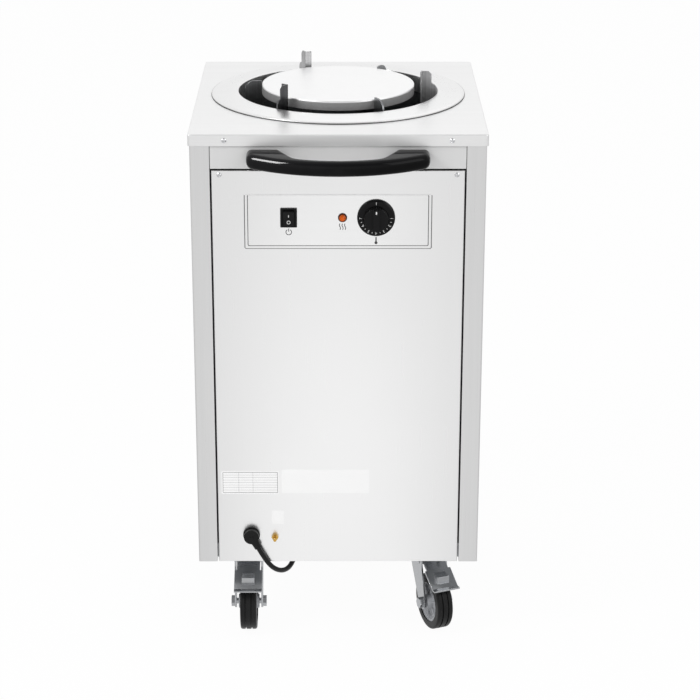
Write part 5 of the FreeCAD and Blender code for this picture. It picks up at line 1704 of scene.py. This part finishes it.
@dataclass
class Wheels:
    """The four castor wheels: a ribbed hub with a rounded, grooved tyre."""

    radius: float = 48 * MM
    half: float = 14 * MM
    seat: float = 35 * MM
    wall: float = 3 * MM
    shoulder: float = 4 * MM
    groove: float = 2 * MM
    groove_at: float = 5 * MM
    groove_top: float = 1.2 * MM
    groove_foot: float = 0.9 * MM
    trail: float = 34 * MM
    hub_half: float = 17.5 * MM
    web: float = 6 * MM
    bore: float = 5.08 * MM
    boss: float = 12 * MM
    boss_foot: float = 13 * MM
    web_start: float = 16 * MM
    web_end: float = 27 * MM
    rim_inner: float = 31 * MM
    rim_half: float = 12 * MM
    fillet: float = 1 * MM
    edge_round: float = 0.8 * MM
    hub_steps: int = 96
    ribs: int = 6
    rib_start: float = 0.26
    rib_ring: float = 21 * MM
    rib: Spot = (16 * MM, 2.4 * MM, 4 * MM)
    rib_out: float = 1.4 * MM
    # Each castor's name, its place and its turn in degrees.
    spots: tuple[tuple[str, float, float, float], ...] = (
        ("front_left", -152 * MM, -130.1 * MM, 0),
        ("front_right", 152 * MM, -130.1 * MM, 22),
        ("rear_left", -152 * MM, 204.9 * MM, 200),
        ("rear_right", 152 * MM, 204.9 * MM, 166),
    )

    def build(self) -> None:
        """Make each wheel."""
        for corner, x, y, turn in self.spots:
            angle = math.radians(turn)
            shift = (self.trail * math.sin(angle), -self.trail * math.cos(angle))
            place = moved(x + shift[0], y + shift[1], self.radius, spin=turn)
            place = place @ Matrix.Rotation(math.pi / 2, 4, "Y")
            tyre = Piece("tyre_dressed_" + corner, Finishes.TYRE)
            tyre.turned(eased(self.tyre_profile()), place, loop=True)
            set_on(tyre.finished(CRISP), "wheel_" + corner, "tyre", "tyre_" + corner)
            self.hub(corner, place)

    def tyre_profile(self) -> list[Corner]:
        """Draw the tyre's section: a round shoulder, three ribs and two grooves.

        Returns:
            Its corners, with their rounds.
        """
        top, deep, side = self.radius, self.radius - self.groove, self.seat + self.wall
        corners = [(self.seat, -self.half), (side, -self.half), (top, -self.half, self.shoulder)]
        for middle in (-self.groove_at, self.groove_at):
            corners += [
                (top, middle - self.groove_top),
                (deep, middle - self.groove_foot),
                (deep, middle + self.groove_foot),
                (top, middle + self.groove_top),
            ]
        return corners + [(top, self.half, self.shoulder), (side, self.half), (self.seat, self.half)]

    def hub(self, corner: str, place: Matrix) -> None:
        """Make one hub, with ribs on both sides of its web.

        Args:
            corner: Which castor it is.
            place: The wheel's middle, with its axle along Z.
        """
        right = [
            (self.bore, self.hub_half),
            (self.boss, self.hub_half, self.edge_round),
            (self.boss_foot, self.web + self.fillet, self.fillet),
            (self.web_start, self.web, self.fillet),
            (self.web_end, self.web, self.fillet),
            (self.rim_inner, self.rim_half, self.edge_round),
            (self.seat, self.rim_half),
        ]
        left = [(radius, -level, *ease) for radius, level, *ease in reversed(right)]
        shell = Piece("hub", Finishes.HUB).turned(eased(right + left), place, self.hub_steps, loop=True)
        parts = [shell.finished(CRISP)]
        for side in SIDES:
            parts.append(RingArray().bars(
                "ribs", Finishes.HUB, along(place, z=side * (self.web + self.rib_out)), Count=self.ribs,
                Radius=self.rib_ring, Start=self.rib_start, Step=math.tau / self.ribs, Size=self.rib,
            ))
        made = merged("hub_dressed_" + corner, Finishes.HUB, parts)
        set_on(made, "wheel_" + corner, "hub", "hub_" + corner)


@dataclass
class Labels:
    """The blank paper labels on the front panel, where such a cabinet carries its papers."""

    thick: float = 0.15 * MM
    corner: float = 1.2 * MM
    margin: float = 2.5 * MM
    rows: int = 8
    columns: Pair = (-0.42, 0.1)
    frame_line: float = 0.6 * MM
    rule_line: float = 0.25 * MM
    rule_level: Pair = (-0.02 * MM, 0.03 * MM)
    # Each label's middle across and up, its width and its height.
    spots: tuple[tuple[float, float, float, float], ...] = (
        (-145 * MM, 290 * MM, 95 * MM, 41 * MM),
        (-21 * MM, 292 * MM, 144 * MM, 42 * MM),
        (-100 * MM, 227 * MM, 20 * MM, 24 * MM),
    )

    def build(self) -> None:
        """Stick the labels on the panel."""
        labels = Piece("blank_labels", Finishes.LABEL)
        for x, z, width, height in self.spots:
            place = moved(x, FACE_Y, z, Facing.FRONT)
            labels.slab(rounded(width, height, self.corner, 3), (-self.thick, self.thick), place)
        set_on(labels.finished(), "cabinet", "cream")
        self.form()

    def form(self) -> None:
        """Rule an empty form on the first label: a frame, rows and two columns."""
        x, z, width, height = self.spots[0]
        half_x, half_z = width / 2 - self.margin, height / 2 - self.margin
        place = moved(x, FACE_Y - self.thick, z, Facing.FRONT)
        rules = Piece("form_rules", Finishes.GREY_INK)
        lines = []
        for row in range(self.rows + 1):
            high = half_z * (2 * row / self.rows - 1)
            lines.append(([(-half_x, high), (half_x, high)], row in (0, self.rows)))
        for share in (-1, *self.columns, 1):
            lines.append(([(half_x * share, -half_z), (half_x * share, half_z)], abs(share) == 1))
        for line, framing in lines:
            rules.stroke(line, self.frame_line if framing else self.rule_line, self.rule_level, place)
        set_on(rules.finished(), "cabinet", "black")


@dataclass
class MainsLead:
    """The mains cord from its gland to its plug, one smooth line with its spare length coiled."""

    radius: float = 4.2 * MM
    length: float = 1.94
    coil_spot: Pair = (0.0, 159.4 * MM)
    coil_inner: float = 33 * MM
    coil_outer: float = 56 * MM
    coil_low: float = 4.5 * MM
    coil_layer: float = 9.1 * MM
    turns: int = 5
    points_a_turn: int = 12
    climb_turns: float = 0.5
    plug_lead: float = 62 * MM
    plug_axis: float = 17.3 * MM
    smoothness: int = 10
    roundness: int = 5
    tie_width: float = 7 * MM
    tie_thick: float = 0.9 * MM
    tie_slack: float = 0.4 * MM
    tie_ease: float = 0.35
    tie_floor: float = 0.04 * MM
    tie_inside: float = 0.24 * MM
    tie_tail: float = 11 * MM
    tail_corner: int = 4
    tail_sunk: float = 0.6
    tie_turns: Pair = (20.0, 160.0)
    # The cord's points in millimetres, as the part's source has them.
    route: tuple[Spot, ...] = (
        (-132.95, -219.58, 174.7),
        (-118.22, -220.22, 146.3),
        (-100.3, -205.4, 124.5),
        (-84.1, -179.3, 115.5),
        (-74.5, -149.6, 121.5),
        (-69, -119.6, 134),
        (-67, -88.6, 141.6),
        (-67, -54.6, 141.6),
        (-66.7, -20.6, 133.5),
        (-66.5, 12.4, 112),
        (-66, 38.9, 86),
        (-64.5, 64.3, 58.5),
        (-59.7, 86.3, 29.9),
        (-45.5, 97.5, 13.6),
        (-24, 103.4, 4.5),
    )

    def coil_points(self) -> list[Vector]:
        """Wind the coil: inward on the floor, up a layer, and outward on top.

        Returns:
            The coil's points.
        """
        steps = self.turns * self.points_a_turn
        # The smooth line cuts its corners, so its points stand out by the inverse of this share.
        cut = 0.75 + 0.25 * math.cos(math.tau / self.points_a_turn)
        points = []
        for step in range(steps + 1):
            from_middle = step - steps / 2
            reach = abs(from_middle) / (steps / 2)
            radius = self.coil_inner + (self.coil_outer - self.coil_inner) * reach
            radius /= cut if 0 < step < steps else 1.0
            climb = from_middle / (self.climb_turns * self.points_a_turn) + 0.5
            height = self.coil_low + self.coil_layer * min(max(climb, 0.0), 1.0)
            turn = math.tau * step / self.points_a_turn - math.pi / 2
            x, y = radius * math.cos(turn), radius * math.sin(turn)
            points.append(Vector((self.coil_spot[0] + x, self.coil_spot[1] + y, height)))
        return points

    def build(self) -> Thing:
        """Returns:
            The cord.
        """
        points = [Vector(spot) * MM for spot in self.route] + self.coil_points()
        leave = points[-1]
        for ahead, height in ((0.35, leave.z), (0.65, self.plug_axis), (1.0, self.plug_axis)):
            points.append(Vector((leave.x + self.plug_lead * ahead, leave.y, height)))
        curve = bpy.data.curves.new("mains_lead", "CURVE")
        curve.dimensions = "3D"
        curve.resolution_u = self.smoothness
        curve.bevel_depth = self.radius
        curve.bevel_resolution = self.roundness
        curve.use_fill_caps = True
        spline = curve.splines.new("NURBS")
        spline.points.add(len(points) - 1)
        for point, spot in zip(spline.points, points):
            point.co = (*spot, 1.0)
        spline.order_u = 3
        spline.use_endpoint_u = True
        spline.resolution_u = self.smoothness
        curve.materials.append(Finishes.SHEATH.material())
        cord = placed("mains_lead", curve)
        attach(cord, "cabinet")
        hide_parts("mains_cord", "cord_coil", "cord_tail")
        LOG.info("%s rides on cabinet", cord.name)
        return cord

    def bundle(self, angle: float) -> list[Pair]:
        """Return the outline of the coil's turns where they cross an angle.

        Args:
            angle: The angle round the coil, in degrees.

        Returns:
            The corners, each as a distance from the coil's middle and a height.
        """
        half = self.turns / 2
        crossings = [0.25 + angle / 360 + turn - half for turn in range(self.turns)]
        reach = (self.coil_outer - self.coil_inner) / half
        low = [self.coil_inner - reach * crossing for crossing in crossings if crossing < 0]
        high = [self.coil_inner + reach * crossing for crossing in crossings if crossing >= 0]
        grow = self.radius + self.tie_slack
        ease = grow * self.tie_ease
        under, over = self.coil_low, self.coil_low + self.coil_layer
        return [
            (min(low) - grow + ease, self.tie_inside),
            (max(low) + grow - ease, self.tie_inside),
            (max(low) + grow, under),
            (max(high) + grow, over),
            (max(high) + grow - ease, over + grow),
            (min(high) - grow + ease, over + grow),
            (min(high) - grow, over),
            (min(low) - grow, under),
        ]

    def ties(self) -> None:
        """Bind the coil's turns with flat bands, each ending in a tail."""
        wide = (-self.tie_width / 2, self.tie_width / 2)
        ties = Piece("coil_ties", Finishes.TIE)
        for turn in self.tie_turns:
            place = moved(*self.coil_spot, 0.0, Facing.FRONT, spin=turn)
            inner = [Vector(corner) for corner in self.bundle(turn)]
            middle = sum(inner, Vector((0, 0))) / len(inner)
            outer = [corner + (corner - middle).normalized() * self.tie_thick for corner in inner]
            outer = [Vector((corner.x, max(corner.y, self.tie_floor))) for corner in outer]
            for first in range(len(inner)):
                after = (first + 1) % len(inner)
                side = [inner[first], outer[first], outer[after], inner[after]]
                ties.slab([tuple(corner) for corner in side], wide, place)
            end, low = inner[self.tail_corner].x, inner[self.tail_corner].y + self.tie_thick * self.tail_sunk
            start, high = end - self.tie_tail, low + self.tie_thick
            ties.slab([(start, low), (end, low), (end, high), (start, high)], wide, place)
        set_on(ties.finished(), "cabinet", "black")

    def dress(self) -> None:
        """Finish the gland, the plug and the pieces beside them."""
        dress(Finishes.GLAND, "cord_gland", "gland_nut")
        dress(Finishes.BLACK, "plug", "cord_clip")
        dress(Finishes.BRASS, "plug_pins", "earth_terminal")


@dataclass
class Studio:
    """The floor, the lights and the camera at the photograph's angle."""

    eye: Spot = (0.0, -3.492, 1.745)
    pitch: float = 20.43
    lens: float = 111.56
    shift: float = 0.017
    floor: float = 30.0
    floor_tone: float = 0.9
    floor_glow: float = 0.96
    # How bright metal mirrors the floor: from left to right, then from the front to the cabinet.
    mirror_across: Pair = (-0.5, 0.5)
    mirror_tones: tuple[Pair, ...] = (
        (0.0, 0.66), (0.2, 0.74), (0.38, 1.0), (0.6, 1.0), (0.78, 0.77), (1.0, 0.66),
    )
    mirror_ahead: tuple[Pair, Pair] = ((-1.2, 1.0), (-0.4, 0.9))
    # How bright metal mirrors the room, and the part of it that is high in front.
    shine: float = 0.9
    dim: float = 0.3
    dim_front: tuple[Pair, Pair] = ((-0.1, 0.0), (-0.45, 1.0))
    dim_high: tuple[Pair, Pair] = ((0.3, 0.0), (0.55, 1.0))
    ambient: float = 0.72
    target: Spot = (0, 0, 0.5)
    # Each lamp's name, place, size and power in watts.
    lamps: tuple[tuple[str, Spot, Pair, float], ...] = (
        ("key_light", (-2.3, -1.5, 2.7), (0.8, 0.8), 34),
        ("fill_light", (2.2, -1.5, 2.2), (1.6, 1.6), 14),
        ("back_light", (0.3, 2.2, 2.6), (1.6, 1.6), 1.5),
    )
    highlight_lamp: tuple[str, Spot, Pair, float] = ("highlight", (-1.9, -1.1, 2.1), (1.2, 1.0), 260)

    def build(self) -> None:
        """Make the stage."""
        self.camera()
        self.ground()
        self.sky()
        for lamp in self.lamps:
            self.lamp(*lamp)
        bpy.context.scene.view_settings.view_transform = "Standard"

    def camera(self) -> None:
        """Set the camera."""
        data = bpy.data.cameras.new("photo_view")
        data.sensor_width = 36.0
        data.lens = self.lens
        data.shift_x = self.shift
        made = placed("photo_view", data)
        made.location = self.eye
        made.rotation_euler = (math.radians(90 - self.pitch), 0, 0)
        bpy.context.scene.camera = made

    def mirrored(self, graph: Graph) -> Socket:
        """Return where a ray is a mirror's or a lens's own."""
        rays = graph.node("ShaderNodeLightPath").outputs
        return graph.calc("MAXIMUM", rays["Is Glossy Ray"], rays["Is Transmission Ray"])

    def ground(self) -> None:
        """Lay the floor: pale, with the object's shadow, and even where metal mirrors it."""
        half = self.floor / 2
        corners = [(-half, -half, 0), (half, -half, 0), (half, half, 0), (-half, half, 0)]
        mesh = bpy.data.meshes.new("studio_floor")
        mesh.from_pydata(corners, [], [(0, 1, 2, 3)])
        made = placed("studio_floor", mesh)
        paint = bpy.data.materials.new("pale_floor")
        paint.use_nodes = True
        graph = Graph(paint.node_tree)
        shader = paint.node_tree.nodes["Principled BSDF"]
        graph.feed(shader, {"Base Color": grey(self.floor_tone), "Roughness": 0.9, "Specular IOR Level": 0.0})
        x, y, _ = graph.node("ShaderNodeSeparateXYZ", {0: graph.place()}).outputs
        across = graph.span(x, (self.mirror_across[0], 0.0), (self.mirror_across[1], 1.0))
        ramp = graph.node("ShaderNodeValToRGB", {0: across})
        keys = ramp.color_ramp.elements
        while len(keys) < len(self.mirror_tones):
            keys.new(0.5)
        for key, (place, tone) in zip(keys, self.mirror_tones):
            key.position = place
            key.color = (*grey(tone), 1)
        mirror = self.mirrored(graph)
        near = graph.span(y, *self.mirror_ahead)
        colour = graph.blend(mirror, WHITE, graph.blend(1.0, ramp.outputs[0], near, "MULTIPLY"))
        glow = graph.node("ShaderNodeEmission", {"Color": colour})
        camera = graph.times(graph.node("ShaderNodeLightPath").outputs["Is Camera Ray"], self.floor_glow)
        feeds = {0: graph.calc("MAXIMUM", camera, mirror), 1: shader.outputs[0], 2: glow.outputs[0]}
        mix = graph.node("ShaderNodeMixShader", feeds)
        graph.feed(paint.node_tree.nodes["Material Output"], {0: mix.outputs[0]})
        mesh.materials.append(paint)

    def sky(self) -> None:
        """Fill the room with even light, and show it white."""
        world = bpy.data.worlds.new("studio_room")
        world.use_nodes = True
        bpy.context.scene.world = world
        graph = Graph(world.node_tree)
        light = world.node_tree.nodes["Background"]
        graph.feed(light, {"Strength": self.ambient, "Color": WHITE})
        way = graph.node("ShaderNodeTexCoord").outputs["Generated"]
        _, y, z = graph.node("ShaderNodeSeparateXYZ", {0: way}).outputs
        dimmed = graph.times(graph.span(y, *self.dim_front), graph.span(z, *self.dim_high))
        bright = graph.span(dimmed, (0.0, self.shine), (1.0, self.dim))
        camera = graph.node("ShaderNodeLightPath").outputs["Is Camera Ray"]
        feeds = {"Strength": graph.calc("MAXIMUM", bright, camera), "Color": WHITE}
        room = graph.node("ShaderNodeBackground", feeds)
        seen = graph.calc("MAXIMUM", camera, self.mirrored(graph))
        mix = graph.node("ShaderNodeMixShader", {0: seen, 1: light.outputs[0], 2: room.outputs[0]})
        graph.feed(world.node_tree.nodes["World Output"], {0: mix.outputs[0]})

    def highlight(self, piece: Thing) -> None:
        """Hang a soft lamp that lights one glossy piece alone.

        Args:
            piece: The piece.
        """
        lit = bpy.data.collections.new("highlighted")
        lit.objects.link(piece)
        made = self.lamp(*self.highlight_lamp)
        made.light_linking.receiver_collection = lit

    def lamp(self, name: str, spot: Spot, size: Pair, power: float) -> Thing:
        """Hang a soft lamp that looks at the middle of the part.

        Args:
            name: Its name.
            spot: Where it hangs.
            size: Its width and height.
            power: Its power in watts.

        Returns:
            The lamp.
        """
        data = bpy.data.lights.new(name, "AREA")
        data.shape = "RECTANGLE"
        data.size, data.size_y = size
        data.energy = power
        made = placed(name, data)
        made.location = spot
        aim = Vector(self.target) - Vector(spot)
        made.rotation_euler = aim.to_track_quat("-Z", "Y").to_euler()
        return made


def dress_frame() -> None:
    """Finish the solids that keep their own shape."""
    dress(Finishes.COVER, "top_cover")
    dress(Finishes.SIDE, "side_panel_left", "side_panel_right", "rear_panel")
    dress(Finishes.RAIL, "upper_front_rail")
    dress(Finishes.PANEL, "front_panel")
    dress(Finishes.PLATE, "control_plate")
    dress(Finishes.OVERLAY, "control_overlay")
    dress(Finishes.INSIDE, "base_pan", "spring_hanger", "lower_spider", "lift_springs")
    dress(Finishes.INSIDE, "heating_element", "heater_posts")
    dress(Finishes.WELL, "plate_well")
    dress(Finishes.GUIDE, "platform_arms")
    # The rear and right guides are painted lighter and the left one darker, as light and shade.
    dress(Finishes.LIT_GUIDE, "plate_guide_rear", "plate_guide_right")
    dress(Finishes.SHADED_GUIDE, "plate_guide_left")
    dress(Finishes.BLACK, "switch_body", "rocker_button", "thermostat")
    dress(Finishes.BEZEL, "lamp_body")
    dress(Finishes.CREAM, "terminal_block")
    dress(Finishes.ZINC, "castor_plates", "castor_bolts")
    for corner, *_ in Wheels.spots:
        dress(Finishes.ZINC, "fork_" + corner, "pins_" + corner)
    dress(Finishes.ZINC, "brake_pedal_front_left", "brake_pedal_front_right")


def main() -> None:
    """Build every piece, dress the frame and set the studio."""
    logging.basicConfig(level=logging.INFO, format="%(message)s")
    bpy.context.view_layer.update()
    studio = Studio()
    studio.build()
    lead = MainsLead()
    lead.build()
    lead.ties()
    lead.dress()
    dress_frame()
    Screws().build()
    WellTop().build()
    ShadowStrips().build()
    studio.highlight(Handle().build())
    Controls().build()
    Wheels().build()
    Labels().build()


if __name__ == "__main__":
    main()
